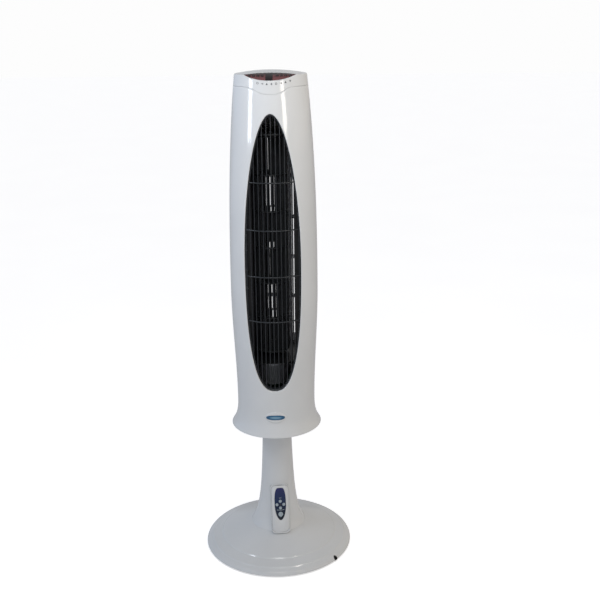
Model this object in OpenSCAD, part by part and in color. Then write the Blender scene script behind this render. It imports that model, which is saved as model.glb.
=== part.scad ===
// Pedestal tower fan. The front faces -Y, +Z is up and the floor is at z = 0.

/* [Head] */
// Height of the head's flat top
head_top_z = 1190; // [1188:1:1192]
// Height at which the head is widest
head_wide_z = 685; // [660:1:720]
// Height of the neck above the skirt
head_neck_z = 406; // [400:1:420]
// Height of the skirt's rim
head_rim_z = 338; // [334:1:344]
// Radius at the top
head_top_r = 82.5; // [81:0.5:86]
// Radius at the widest place
head_wide_r = 104.6; // [102:0.1:108]
// Radius at the neck
head_neck_r = 95.7; // [94:0.1:98]
// Radius at the skirt's rim
head_rim_r = 111.5; // [108:0.5:116]
// Inward slope of the side where it meets the top
head_top_slope = 0.105; // [0.08:0.005:0.12]
// Wall thickness of the head's shells
shell_t = 3; // [2.5:0.1:3.5]
// Place of the joint between front and rear shell, along Y
shell_split_y = 10; // [6:1:14]

/* [Front opening] */
// Width of the almond-shaped opening
open_w = 130; // [120:1:136]
// Lowest point of the opening
open_low_z = 453; // [448:1:465]
// Height at which the opening is widest
open_mid_z = 765; // [740:1:790]
// Highest point of the opening
open_top_z = 1107; // [1090:1:1115]
// Roundness of the opening's upper half, where 2 is an ellipse
open_upper_round = 1.9; // [1.7:0.1:2.2]
// Roundness of the opening's lower half
open_lower_round = 2.6; // [2.2:0.1:3]
// Distance between the grille's upright vanes
vane_pitch = 10; // [9:0.5:12]
// Height of the lowest cross rib
rib_low_z = 628; // [620:1:640]
// Distance between cross ribs
rib_pitch = 109; // [100:1:112]

/* [Control panel] */
// Height of the lid's gentle dome above its edge
crest_h = 7.3; // [7:0.1:8]
// Place of the panel's rear edge, along Y
panel_rear_y = -45; // [-46:1:-44]
// Height of the panel's front edge
panel_front_z = 1177.5; // [1176:0.5:1178]
// Diameter of a panel button
button_d = 6.8; // [6:0.1:7.2]
// Travel of a panel button
button_travel = 1; // [0.6:0.1:1.2]

/* [Air path] */
// Radius of the blower wheel
wheel_r = 42; // [38:0.5:43]
// Lower end of the blower wheel
wheel_low_z = 530; // [528:1:536]
// Upper end of the blower wheel
wheel_high_z = 1052; // [1040:1:1054]
// Number of blades round the wheel
blade_count = 26; // [20:1:30]
// Number of air slots across the back
slot_count = 15; // [11:2:15]

/* [Stand] */
// Radius of the base
base_r = 187; // [182:1:200]
// Height of the base where the column stands on it
base_top_z = 58; // [54:1:62]
// Radius of the column's foot
foot_r = 67.7; // [66:0.1:70]
// Height of the column's top
column_top_z = 372; // [370:1:373]
// Radius of the column at its top
column_top_r = 34; // [33:0.5:36]
// Turn of the remote's cradle about the column
stand_turn = 6.5; // [0:0.5:8]
// Number of rubber feet
feet_count = 5; // [4:1:8]

/* [Oscillation] */
// Teeth on the fixed gear
fixed_teeth = 60; // [60]
// Teeth on the pinion
pinion_teeth = 15; // [15]
// Gear module
gear_module = 1.2; // [1.2]

/* [Remote control] */
// Length of the remote
remote_l = 118; // [116:1:120]
// Width of the remote
remote_w = 43; // [40:1:44]
// Thickness of the remote
remote_t = 12.5; // [11:0.5:12.5]
// Lean of the remote from upright
remote_lean = 14.4; // [13:0.1:15]

/* [Hidden] */
$fn = 64;

white_plastic = "#d9dbdc";
grey_plastic = "#b9bbbd";
black_plastic = "#17181a";
steel = "#a9adb2";
rubber_black = "#202022";

// Shape of the head
barrel_steps = 44;
cap_side_z = 1164;
cap_front_z = 1149.5;
cap_low_z = 1140;
cap_joint_flat = 10;
cap_joint_rise = 42;
cap_gap = 0.5;
cap_edge_r = 4;
crest_r = 78;
// Drop from the dome's peak to its small flat spot
dome_flat = 0.03;
crest_ball_r = (crest_r * crest_r + crest_h * crest_h) / (2 * crest_h);
panel_rear_z = head_top_z + 4.4;
panel_drop = panel_rear_z - panel_front_z;
panel_front_y = -head_top_r;
panel_slope = atan(panel_drop / (panel_rear_y - panel_front_y));
rim_inset = 2.6;
window_rear_y = panel_rear_y - 1.5;
window_arc_r = 230;
window_t = 2.5;
window_sink = 0.4;
button_xs = [16.5, 26, 35.5, 45];
button_y = -17;
button_flange = 0.6;
mark_count = 8;
mark_first_x = -26.5;
mark_pitch = 10.2;
mark_low_z = 1171;
badge_z = 386;
lip_depth = 14;
lip_t = 2.5;
grille_front = 5;
grille_depth = 12;
almond_points = 72;

// Blower and motor
wheel_x = -6;
wheel_y = 6;
blade_lean = 28;
wheel_stagger = 4.6;
guide_low_z = 517;
guide_high_z = 1062;
guide_plate_t = 3;
scroll_gap = 4.5;
wall_t = 2.5;
shaft_r = 4;
running_gap = 0.05;
motor_r = 35;
motor_low_z = 445;
motor_high_z = 500;
rotor_r = 21;
stub_r = 3;
screw_zs = [440, 800, 1125];
screw_boss_r = 5;

// Oscillation drive
gear_low_z = column_top_z;
gear_t = 8;
fixed_gear_r = fixed_teeth * gear_module / 2;
pinion_r = pinion_teeth * gear_module / 2;
gear_distance = fixed_gear_r + pinion_r + 0.1;
head_base_z = 388;
head_base_t = 3;
spigot_r = 14;
spigot_bore_r = 10;
bush_r = 17;
tube_r = 22;
tube_t = 3;
pressure_angle = 25;

// Base and column
plate_low_z = 4;
plate_t = 3;
column_steps = 26;
flare_h = 23.4;
flare_fade = 44;
outlet_turn = -38.6;
outlet_z = 8.5;
grommet_r = 5.3;

// Remote and its cradle
cradle_foot = [0, -79, base_top_z + 4];
crown_r = 60;
cradle_w = 47;
cradle_back = 6.5;
cradle_lip = 6;
cradle_depth = 16;
cradle_top = remote_l + 3;
remote_gap = 0.4;
overlay_low = 30;
overlay_mid = 70;
overlay_high = 113;
overlay_w = 29;
key_ring = 8.6;
key_mid = 70;
power_key_z = 45.5;
key_r = 3.7;
power_key_r = 5.8;

// ---------- curves ----------

function ease(u, a, b, slope) =
    a * (2 * pow(u, 3) - 3 * u * u + 1)
    + b * (3 * u * u - 2 * pow(u, 3))
    + slope * (pow(u, 3) - u * u);

// Outer radius of the head at a height
function head_r(z) =
    z > head_wide_z
    ? ease((z - head_wide_z) / (head_top_z - head_wide_z), head_wide_r, head_top_r,
        -head_top_slope * (head_top_z - head_wide_z))
    : z > head_neck_z
    ? ease((z - head_neck_z) / (head_wide_z - head_neck_z), head_neck_r, head_wide_r, 0)
    : head_neck_r + (head_rim_r - head_neck_r)
        * pow((head_neck_z - z) / (head_neck_z - head_rim_z), 3);

// Outer radius of the column at a height
function column_r(z) =
    column_top_r + 0.033 * (column_top_z - z)
    + flare_h * exp((base_top_z + 2 - z) / flare_fade);

function power(v, e) = sign(v) * pow(abs(v), e);

// Outline of the front opening, drawn inwards by an inset
function almond(inset) = [for (i = [0 : almond_points - 1])
    let (a = 360 * i / almond_points,
        up = sin(a) >= 0,
        round = 2 / (up ? open_upper_round : open_lower_round),
        tall = (up ? open_top_z - open_mid_z : open_mid_z - open_low_z) - inset)
    [(open_w / 2 - inset) * power(cos(a), round),
        open_mid_z + tall * power(sin(a), round)]];

// Height of the joint between shells and cap at a sideways place
function cap_joint_z(x) =
    let (u = min(1, max(0, (abs(x) - cap_joint_flat) / cap_joint_rise)))
    cap_front_z + (cap_side_z - cap_front_z) * (3 * u * u - 2 * u * u * u);

// Involute teeth
function involute(base, r) =
    r <= base ? 0 : 180 / PI * sqrt(pow(r / base, 2) - 1) - acos(base / r);
function tooth_half(n, r) =
    let (pitch = n * gear_module / 2, base = pitch * cos(pressure_angle))
    90 / n + involute(base, pitch) - involute(base, r) - 0.1 / pitch * 180 / PI;
function gear_outline(n) =
    let (pitch = n * gear_module / 2,
        root = pitch - 1.25 * gear_module,
        tip = pitch + 0.9 * gear_module,
        radii = [for (s = [0 : 4]) root + (tip - root) * s / 4])
    [for (t = [0 : n - 1], side = [-1, 1], s = [0 : 4])
        let (r = radii[side < 0 ? s : 4 - s], a = 360 * t / n + side * tooth_half(n, r))
        [r * cos(a), r * sin(a)]];

// ---------- helpers ----------

// Ring of the head's wall between two insets and two heights
module barrel_band(inset, depth, low, high) {
    outer = [for (i = [0 : barrel_steps]) let (z = low + (high - low) * i / barrel_steps)
        [head_r(z) - inset, z]];
    inner = [for (i = [barrel_steps : -1 : 0]) let (z = low + (high - low) * i / barrel_steps)
        [head_r(z) - inset - depth, z]];
    rotate_extrude($fn = 96) polygon(concat(outer, inner));
}

// The head's filled shape, drawn inwards by an inset
module barrel_solid(inset, low, high) {
    outer = [for (i = [0 : barrel_steps]) let (z = low + (high - low) * i / barrel_steps)
        [head_r(z) - inset, z]];
    rotate_extrude($fn = 96) polygon(concat([[0, low]], outer, [[0, high]]));
}

// Extrudes an X-Z outline forwards
module forwards(depth) {
    rotate([90, 0, 0]) linear_extrude(depth) children();
}

module ring(r_in, r_out, low, high) {
    translate([0, 0, low]) difference() {
        cylinder(r = r_out, h = high - low);
        translate([0, 0, -1]) cylinder(r = r_in, h = high - low + 2);
    }
}

module around(count, r, first = 0) {
    for (i = [0 : count - 1]) rotate([0, 0, first + 360 * i / count]) translate([r, 0, 0]) children();
}

module at_wheel() {
    translate([wheel_x, wheel_y, 0]) children();
}

module at_cradle() {
    rotate([0, 0, stand_turn]) translate(cradle_foot) rotate([-remote_lean, 0, 0]) children();
}

module at_panel() {
    translate([0, panel_rear_y, panel_rear_z]) rotate([panel_slope, 0, 0]) children();
}

// Everything above or below the wavy joint under the cap
module cap_side(lower, shift) {
    xs = [for (x = [-130 : 6 : 130]) x];
    edge = [for (x = xs) [x, cap_joint_z(x) + shift]];
    far = lower ? 200 : 1400;
    translate([0, 150, 0]) forwards(300) polygon(concat(edge, [[130, far], [-130, far]]));
}

module rounded_plate(w, h, r) {
    for (sx = [-1, 1], sy = [-1, 1])
        translate([sx * (w / 2 - r), sy * (h / 2 - r)]) circle(r, $fn = 32);
    square([w - 2 * r, h], center = true);
    square([w, h - 2 * r], center = true);
}

// ---------- stand ----------

base_outline = [[60, base_top_z], [foot_r + 1, base_top_z], [base_r * 0.776, base_top_z - 28],
    [base_r * 0.784, base_top_z - 30.6], [base_r * 0.913, base_top_z - 37.7],
    [base_r * 0.923, base_top_z - 40.6], [base_r * 0.975, base_top_z - 45.5],
    [base_r * 0.99, base_top_z - 48.5], [base_r, base_top_z - 52]];

// The base's filled shape, grown outwards and upwards
module base_solid(grow) {
    rotate_extrude($fn = 128) polygon(concat([[0, 0], [0, base_top_z + grow]],
        [for (p = base_outline) [p[0] + grow, p[1] + grow]], [[base_r + grow, 0]]));
}

module at_outlet() {
    rotate([0, 0, outlet_turn]) translate([base_r, 0, outlet_z]) rotate([0, 90, 0]) children();
}

module base_cover() {
    inner = [for (i = [len(base_outline) - 1 : -1 : 0])
        [base_outline[i][0] - (i == 0 ? 0 : 3), max(plate_low_z, base_outline[i][1] - 3)]];
    color(white_plastic) difference() {
        union() {
            rotate_extrude($fn = 128)
                polygon(concat(base_outline, [[base_r, plate_low_z], [base_r - 3, plate_low_z]], inner));
            intersection() {
                around(feet_count, 158, 18)
                translate([0, 0, plate_low_z + plate_t]) cylinder(r = 5, h = 30);
                base_solid(-1);
            }
        }
        around(feet_count, 158, 18) translate([0, 0, -1]) cylinder(r = 2, h = 16.5);
        at_outlet() translate([0, 0, -12]) cylinder(r = grommet_r, h = 20);
        at_outlet() translate([0, -grommet_r, -12]) cube([20, 2 * grommet_r, 20]);
    }
}

module base_plate() {
    color(black_plastic) difference() {
        translate([0, 0, plate_low_z]) cylinder(r = base_r * 0.99 - 4, h = plate_t, $fn = 128);
        around(feet_count, 158, 18) cylinder(r = 2.3, h = 20, $fn = 24);
        at_outlet() translate([-20, -grommet_r - 0.5, -14]) cube([40, 2 * grommet_r + 1, 20]);
        around(4, 32, 45) cylinder(r = 2.3, h = 20, $fn = 24);
    }
}

module base_weight() {
    color("#4a4c50") ring(46, 148, plate_low_z + plate_t, plate_low_z + plate_t + 6);
}

module rubber_feet() {
    color(rubber_black) around(feet_count, 166, 54) rotate_extrude($fn = 48)
        polygon([[0, 0], [8, 0], [9, 1], [9, plate_low_z], [0, plate_low_z]]);
}

module base_screws() {
    color(steel) {
        around(feet_count, 158, 18) screw_up(plate_low_z, 11);
        around(4, 32, 45) screw_up(plate_low_z, 14);
    }
}

// Pan-head screw that points up, its head below the given height
module screw_up(z, length) {
    translate([0, 0, z - 2]) rotate_extrude($fn = 24)
        polygon([[0, 0], [3, 0], [4, 1], [4, 2], [2, 2], [2, length + 1], [1, length + 2],
            [0, length + 2]]);
}

module cord_grommet() {
    color(rubber_black) difference() {
        intersection() {
            base_solid(0.4);
            at_outlet() union() {
                translate([0, 0, -8]) cylinder(r = grommet_r, h = 12);
                translate([0, -grommet_r, -8]) cube([outlet_z - plate_low_z, 2 * grommet_r, 12]);
            }
        }
        at_outlet() translate([0, 0, -20]) cylinder(r = 3.3, h = 40, $fn = 32);
    }
}

module column() {
    zs = [for (i = [0 : column_steps])
        base_top_z + (column_top_z - base_top_z) * pow(i / column_steps, 1.4)];
    outer = [for (z = zs) [column_r(z), z]];
    inner = [for (i = [column_steps : -1 : 0]) [column_r(zs[i]) - shell_t, zs[i]]];
    color(white_plastic) difference() {
        rotate_extrude($fn = 96) polygon(concat(outer, inner));
        at_cradle() translate([-cradle_w / 2 - 0.3, -30, -3.3])
            cube([cradle_w + 0.6, 30 + cradle_depth + 0.3, cradle_top + 3.6]);
    }
}

module support_tube() {
    color(steel) ring(tube_r - tube_t, tube_r, plate_low_z + plate_t, column_top_z - 6);
}

module tube_collar() {
    color("#5b5e63") difference() {
        ring(tube_r, 42, plate_low_z + plate_t, plate_low_z + plate_t + 14);
        around(4, 32, 45) cylinder(r = 2, h = 18, $fn = 24);
    }
}

module pivot_plate() {
    color(grey_plastic) difference() {
        union() {
            ring(bush_r, column_top_r - shell_t - 0.1, column_top_z - 6, column_top_z);
            ring(bush_r, 18.8, column_top_z - 16, column_top_z);
        }
        around(3, 24.5, 60) cylinder(r = 1.5, h = column_top_z + 2, $fn = 24);
    }
}

module fixed_gear() {
    color("#e6e2d4") translate([0, 0, gear_low_z]) difference() {
        linear_extrude(gear_t) polygon(gear_outline(fixed_teeth));
        translate([0, 0, -1]) cylinder(r = bush_r + 0.2, h = gear_t + 2);
        around(3, 24.5, 60) {
            translate([0, 0, -1]) cylinder(r = 1.7, h = gear_t + 2, $fn = 24);
            translate([0, 0, gear_t - 2.4]) cylinder(r = 3.2, h = 4, $fn = 24);
        }
    }
}

module gear_screws() {
    color(steel) around(3, 24.5, 60) translate([0, 0, gear_low_z + gear_t - 2.4]) rotate_extrude($fn = 24)
        polygon([[0, 2], [0, -11], [0.7, -11], [1.5, -10], [1.5, 0], [2.9, 0], [2.9, 1.2], [2, 2]]);
}

module pivot_bush() {
    color("#c9a860") union() {
        ring(spigot_r + running_gap, bush_r, column_top_z - 22, column_top_z + gear_t);
        ring(spigot_r + running_gap, 20.5, column_top_z + gear_t, column_top_z + gear_t + 4);
    }
}

module thrust_washer() {
    color("#e9e9e6") ring(spigot_r + 0.3, 20.5, column_top_z + gear_t + 4, head_base_z - 0.1);
}

// ---------- remote and cradle ----------

// Outline of a spine slice: flat back and rounded front corners
module cradle_plate(front, depth) {
    at_cradle() translate([0, front, cradle_top / 2 - 1.5]) rotate([-90, 0, 0])
        linear_extrude(depth) rounded_plate(cradle_w, cradle_top + 3, 10.5);
}

module remote_cradle() {
    color(white_plastic) difference() {
        union() {
            cradle_plate(cradle_back, cradle_depth - cradle_back);
            intersection() {
                cradle_plate(0, cradle_depth);
                at_cradle() translate([-cradle_w, -5, -10]) cube([2 * cradle_w, 30, 10 + cradle_lip]);
            }
        }
        // pocket
        at_cradle() translate([0, -1, remote_l / 2]) rotate([-90, 0, 0])
            linear_extrude(remote_t + 2 * remote_gap + 1)
                rounded_plate(remote_w + 2 * remote_gap, remote_l + 2 * remote_gap, 9.8);
        // finger scoop above the remote
        at_cradle() translate([0, cradle_back - 2, remote_l + 1]) sphere(r = 6, $fn = 64);
        // room for the support tube and the base
        translate([0, 0, 50]) cylinder(r = tube_r + 1, h = 200);
        base_solid(0.2);
    }
}

// Remote's case outline, looking at its face
module remote_outline(inset) {
    translate([0, remote_l / 2]) rounded_plate(remote_w - 2 * inset, remote_l - 2 * inset, 9.5 - inset);
}

// Builds from the back of the remote, at z = 0 here, towards its face
module at_remote() {
    at_cradle() translate([0, remote_gap + remote_t, 0]) rotate([90, 0, 0]) children();
}

// Cylinder that crowns the remote's face
module crown(r) {
    translate([0, -5, remote_t - crown_r]) rotate([-90, 0, 0])
        cylinder(r = r, h = remote_l + 10, $fn = 128);
}

function crown_drop(x) = crown_r - sqrt(crown_r * crown_r - x * x);

module remote_back() {
    color(white_plastic) at_remote() difference() {
        linear_extrude(5.5) remote_outline(0);
        translate([0, 0, 1.5]) linear_extrude(5) remote_outline(2);
        translate([-13, 20, -1]) cube([26, 30, 4]);
    }
}

module remote_front() {
    color(white_plastic) at_remote() difference() {
        intersection() {
            translate([0, 0, 5.5]) linear_extrude(remote_t - 5.5) remote_outline(0);
            crown(crown_r);
        }
        intersection() {
            translate([0, 0, 5]) linear_extrude(5) remote_outline(2);
            crown(crown_r - 3);
        }
        difference() {
            linear_extrude(20) overlay_outline(0);
            crown(crown_r - 1);
        }
        key_places(0.35);
    }
}

module overlay_outline(inset) {
    w = overlay_w / 2 - inset;
    fall = overlay_mid - overlay_low - inset;
    rise = overlay_high - overlay_mid - inset;
    low = [for (i = [0 : 20]) let (a = 180 + 9 * i)
        [w * power(cos(a), 1.05), overlay_mid + fall * power(sin(a), 1.05)]];
    high = [for (i = [1 : 19]) let (a = 9 * i)
        [w * (1 - 0.2 * pow(sin(a), 2)) * power(cos(a), 0.35), overlay_mid + rise * power(sin(a), 0.6)]];
    polygon(concat(low, high));
}

// Each key's place across and along the remote, and its radius
keys = [[0, key_mid + key_ring, key_r], [0, key_mid - key_ring, key_r],
    [-key_ring, key_mid, key_r], [key_ring, key_mid, key_r], [0, power_key_z, power_key_r]];

module key_places(gap) {
    for (k = keys) translate([k[0], k[1], 0]) cylinder(r = k[2] + gap, h = 30, $fn = 48);
}

module remote_overlay() {
    color("#1f3566") at_remote() difference() {
        intersection() {
            linear_extrude(20) overlay_outline(0.15);
            crown(crown_r + 0.15);
        }
        crown(crown_r - 1);
        key_places(0.3);
    }
}

module remote_board() {
    color("#2f6b46") at_remote() union() {
        translate([0, 0, 5.6]) linear_extrude(1.2) translate([0, remote_l / 2])
            rounded_plate(remote_w - 10, remote_l - 6, 6);
        translate([0, remote_l - 6, 6.9]) rotate([-90, 0, 0]) cylinder(r = 1.3, h = 3.8, $fn = 24);
    }
}

module remote_cell() {
    color("#8d9298") at_remote() translate([0, 35, 1.7]) cylinder(r = 10, h = 2.5);
}

module battery_cover() {
    color(white_plastic) at_remote() translate([-12.8, 20.2, 0]) cube([25.6, 29.6, 1.3]);
}

module remote_key(n) {
    k = keys[n - 1];
    top = remote_t - crown_drop(k[0]) + 0.6;
    color("#b4bfc6") at_remote() translate([k[0], k[1], 0]) rotate_extrude($fn = 48)
        polygon([[0, 8], [k[2], 8], [k[2], top - 0.4], [k[2] - 0.5, top], [0, top]]);
}

// ---------- head: shells ----------

module opening_column(inset) {
    forwards(200) polygon(almond(inset));
}

module behind_split(y) {
    translate([-200, y, 0]) cube([400, 200, 1400]);
}

module before_split(y) {
    translate([-200, y - 200, 0]) cube([400, 200, 1400]);
}

function screw_x(z) = head_r(z) - shell_t - screw_boss_r - 5;

module screw_places() {
    for (z = screw_zs, s = [0, 1]) mirror([s, 0, 0]) translate([screw_x(z), shell_split_y, z]) children();
}

module lens_outline(w, h) {
    r = (w * w / 4 + h * h / 4) / h;
    intersection() {
        translate([0, h / 2 - r]) circle(r, $fn = 128);
        translate([0, r - h / 2]) circle(r, $fn = 128);
    }
}

module badge_outline(inset) {
    translate([0, badge_z]) intersection() {
        rounded_plate(46 - 2 * inset, 12.5 - 2 * inset, 5);
        lens_outline(56 - 2 * inset, 20 - 2 * inset);
    }
}

module front_shell() {
    color(white_plastic) difference() {
        union() {
            intersection() {
                barrel_band(0, shell_t, head_rim_z, 1180);
                before_split(shell_split_y - 0.15);
            }
            // lip that runs inwards round the opening
            intersection() {
                barrel_band(1, lip_depth, open_low_z - 8, open_top_z + 8);
                forwards(200) polygon(almond(-lip_t));
            }
            // raised place for the badge
            intersection() {
                barrel_band(-2, 3, badge_z - 20, badge_z + 20);
                forwards(200) translate([0, badge_z]) lens_outline(58, 29);
            }
            intersection() {
                barrel_solid(1, 400, 1160);
                screw_places() union() {
                    translate([0, -0.15, 0]) rotate([90, 0, 0])
                        cylinder(r = screw_boss_r, h = 22, $fn = 32);
                    translate([3, -18.15, -1.5]) cube([17, 18, 3]);
                }
            }
        }
        opening_column(0);
        screw_places() translate([0, 1, 0]) rotate([90, 0, 0]) cylinder(r = 1.9, h = 19, $fn = 24);
        intersection() {
            barrel_band(-4, 3, badge_z - 20, badge_z + 20);
            forwards(200) badge_outline(0);
        }
        cap_side(false, -cap_gap / 2);
    }
}

module rear_shell() {
    slot_rows = 5;
    slot_low = 540;
    slot_pitch_z = 102;
    color(white_plastic) difference() {
        union() {
            intersection() {
                barrel_band(0, shell_t, head_rim_z, 1180);
                behind_split(shell_split_y + 0.15);
            }
            intersection() {
                barrel_solid(0.5, 400, 1160);
                screw_places() translate([0, 0.15, 0]) rotate([-90, 0, 0])
                    cylinder(r = 6.2, h = 70, $fn = 32);
            }
        }
        screw_places() translate([0, -1, 0]) rotate([-90, 0, 0]) cylinder(r = 2.3, h = 90, $fn = 24);
        screw_places() translate([0, 8, 0]) rotate([-90, 0, 0]) cylinder(r = 4.2, h = 90, $fn = 24);
        for (i = [0 : slot_count - 1], j = [0 : slot_rows - 1])
            translate([(i - (slot_count - 1) / 2) * vane_pitch - 3, 30, slot_low + j * slot_pitch_z])
                cube([6, 100, slot_pitch_z - 10]);
        cap_side(false, -cap_gap / 2);
    }
}

module shell_screws() {
    color(steel) screw_places() rotate([90, 0, 0]) translate([0, 0, -8]) rotate_extrude($fn = 24)
        polygon([[0, -2.4], [2.6, -2.4], [3.8, -1.2], [3.8, 0], [1.9, 0], [1.9, 20], [0.8, 22], [0, 22]]);
}

module cap_profile(inset) {
    side = [for (i = [0 : 6]) let (z = cap_low_z + (head_top_z - cap_edge_r - cap_low_z) * i / 6)
        [head_r(z) - inset, z]];
    edge_x = head_r(head_top_z - cap_edge_r) - cap_edge_r;
    edge = [for (i = [1 : 6]) let (a = 15 * i)
        [edge_x + (cap_edge_r - inset) * cos(a), head_top_z - cap_edge_r + (cap_edge_r - inset) * sin(a)]];
    polygon(concat([[0, cap_low_z]], side, edge, [[0, head_top_z - inset]]));
}

module top_cap() {
    ball_z = head_top_z + crest_h - crest_ball_r;
    color(white_plastic) difference() {
        union() {
            rotate_extrude($fn = 96) cap_profile(0);
            intersection() {
                translate([0, 0, ball_z]) sphere(r = crest_ball_r, $fn = 128);
                translate([0, 0, head_top_z - 1]) cylinder(r = crest_r, h = 1 + crest_h - dome_flat);
            }
        }
        // hollow inside, closed again under the panel by the frame below
        difference() {
            translate([0, 0, -shell_t]) intersection() {
                rotate_extrude($fn = 96) cap_profile(shell_t);
                translate([0, 0, cap_low_z - 5]) cylinder(r = 100, h = head_top_z - cap_low_z + 5);
            }
            at_panel() translate([-90, -60, -window_t - window_sink - 2]) cube([180, 60, 30]);
        }
        // slanted face and the window's seat
        at_panel() translate([-120, -80, 0]) cube([240, 80, 60]);
        intersection() {
            window_column(0);
            at_panel() translate([-120, -80, -window_t - window_sink]) cube([240, 80, 20]);
        }
        intersection() {
            window_column(2.5);
            at_panel() translate([-120, -80, -20]) cube([240, 80, 40]);
        }
        cap_side(true, cap_gap / 2);
    }
}

// Upright column on the window's outline, between the front of the barrel and a wide arc behind
module window_column(inset) {
    intersection() {
        barrel_solid(rim_inset + inset, 1100, head_top_z + crest_h);
        translate([0, window_rear_y - window_arc_r, 1100])
            cylinder(r = window_arc_r - inset, h = 100, $fn = 256);
    }
}

module panel_button_places() {
    for (s = [-1, 1], x = button_xs) translate([s * x, button_y, 0]) children();
}

module control_window() {
    color("#6b3f40") difference() {
        intersection() {
            window_column(0.15);
            at_panel() translate([-120, -80, -window_t - window_sink]) cube([240, 80, window_t]);
        }
        at_panel() panel_button_places() translate([0, 0, -10])
            cylinder(r = button_d / 2 + 0.35, h = 20, $fn = 48);
    }
}

module panel_button(n) {
    x = n < 5 ? -button_xs[4 - n] : button_xs[n - 5];
    color("#2a1d20") at_panel() translate([x, button_y, 0]) rotate_extrude($fn = 48)
        polygon([[0, -6.2], [button_d / 2 + button_flange, -6.2], [button_d / 2 + button_flange, -5.2],
            [button_d / 2, -5.2],
            [button_d / 2, button_travel - 0.5], [button_d / 2 - 0.5, button_travel],
            [0, button_travel]]);
}

// Small generic pictograms, one for each button
module mark_shape(i) {
    if (i % 4 == 0) difference() { circle(2, $fn = 32); circle(1.3, $fn = 32); }
    if (i % 4 == 1) for (k = [-1 : 1]) translate([k * 1.5, 0]) square([0.9, 2 + k], center = true);
    if (i % 4 == 2) polygon([[-2, -1.6], [2, -1.6], [0, 2]]);
    if (i % 4 == 3) { square([4, 0.9], center = true); square([0.9, 4], center = true); }
}

module panel_marks() {
    color("#8a8d91") intersection() {
        barrel_band(-0.25, 0.25, 1140, 1190);
        forwards(200) for (i = [0 : mark_count - 1]) let (x = mark_first_x + mark_pitch * i)
            translate([x, mark_low_z + 6 * pow(x / 46, 2)]) scale(1.2) mark_shape(i);
    }
}

module badge() {
    color("#2b5a7d") intersection() {
        barrel_band(-2.6, 1.6, badge_z - 20, badge_z + 20);
        forwards(200) badge_outline(0.2);
    }
}

module front_grille() {
    reach = floor((open_w / 2 - 3) / vane_pitch);
    color(black_plastic) union() {
        intersection() {
            barrel_band(grille_front, grille_depth, open_low_z, open_top_z);
            difference() {
                opening_column(0.3);
                opening_column(4.5);
            }
        }
        intersection() {
            barrel_band(grille_front + 1, grille_depth - 1, open_low_z, open_top_z);
            opening_column(1);
            for (i = [-reach : reach]) translate([i * vane_pitch - 0.9, -130, 400]) cube([1.8, 130, 800]);
        }
        intersection() {
            barrel_band(grille_front - 0.5, 5, open_low_z, open_top_z);
            opening_column(1);
            for (k = [0 : 3])
                translate([-100, -130, rib_low_z + k * rib_pitch - 1.3]) cube([200, 130, 2.6]);
        }
    }
}

// ---------- head: inside ----------

module air_guide() {
    r_in = wheel_r + scroll_gap;
    guide_h = guide_high_z - guide_low_z;
    color(black_plastic) difference() {
        union() {
            for (z = [guide_low_z, guide_high_z - guide_plate_t]) {
                intersection() {
                    translate([-100, -20, z]) cube([200, 120, guide_plate_t]);
                    barrel_solid(shell_t + 0.4, z, z + guide_plate_t);
                }
                barrel_solid(grille_front + grille_depth + 0.5, z, z + guide_plate_t);
            }
            // scroll wall behind and beside the wheel
            translate([wheel_x, wheel_y, guide_low_z]) linear_extrude(guide_h) intersection() {
                difference() {
                    circle(r_in + wall_t, $fn = 128);
                    circle(r_in, $fn = 128);
                }
                polygon([[0, 0], [-90, -52], [-90, 60], [-30, 90]]);
            }
            translate([wheel_x - r_in - wall_t + 5, -60, guide_low_z]) cube([wall_t, 40, guide_h]);
            // tongue beside the wheel
            translate([38, -58, guide_low_z]) cube([wall_t, 42, guide_h]);
            translate([38, -58, guide_low_z]) cube([5.5, wall_t, guide_h]);
            // front baffles on both sides, with a narrow gap beside the tongue
            intersection() {
                for (x = [wheel_x - r_in - wall_t + 5 - 50, 50.5])
                    translate([x, -60, guide_low_z]) cube([50 + wall_t, wall_t, guide_h]);
                barrel_solid(grille_front + grille_depth + 0.5, guide_low_z, guide_high_z);
            }
        }
        at_wheel() translate([0, 0, guide_low_z - 1]) cylinder(r = 14, h = 10);
        at_wheel() translate([0, 0, guide_high_z - 5]) cylinder(r = 13, h = 10);
    }
}

module blower_wheel() {
    discs = 6;
    gap = (wheel_high_z - wheel_low_z - 3) / discs;
    color("#33353a") at_wheel() difference() {
        union() {
            for (k = [0 : discs]) translate([0, 0, wheel_low_z + gap * k])
                if (k == 0 || k == discs) cylinder(r = wheel_r, h = 3);
                else ring(wheel_r - 13, wheel_r, 0, 2);
            for (k = [0 : discs - 1], b = [0 : blade_count - 1])
                rotate([0, 0, 360 * b / blade_count + wheel_stagger * k])
                    translate([wheel_r - 5.5, 0, wheel_low_z + gap * k]) rotate([0, 0, blade_lean])
                        translate([-5, -0.7, 0]) cube([10, 1.4, gap + 0.5]);
            translate([0, 0, wheel_low_z]) cylinder(r = 10, h = 18);
            translate([0, 0, wheel_high_z - 3]) cylinder(r = 7, h = 5);
            translate([0, 0, wheel_high_z - 3]) cylinder(r = stub_r, h = 26);
        }
        translate([0, 0, wheel_low_z - 1]) cylinder(r = shaft_r, h = 17);
    }
}

module motor_rotor() {
    color(steel) at_wheel() union() {
        translate([0, 0, motor_low_z + 2]) cylinder(r = shaft_r, h = wheel_low_z + 15 - motor_low_z - 2);
        translate([0, 0, motor_low_z + 12]) cylinder(r = rotor_r, h = 31);
    }
}

module motor_housing() {
    color("#8f9398") at_wheel() difference() {
        translate([0, 0, motor_low_z]) cylinder(r = motor_r, h = motor_high_z - motor_low_z);
        translate([0, 0, motor_low_z + 9]) cylinder(r = rotor_r + 1, h = motor_high_z - motor_low_z - 18);
        translate([0, 0, motor_low_z + 1.5]) cylinder(r = shaft_r + running_gap, h = 80);
    }
}

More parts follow.
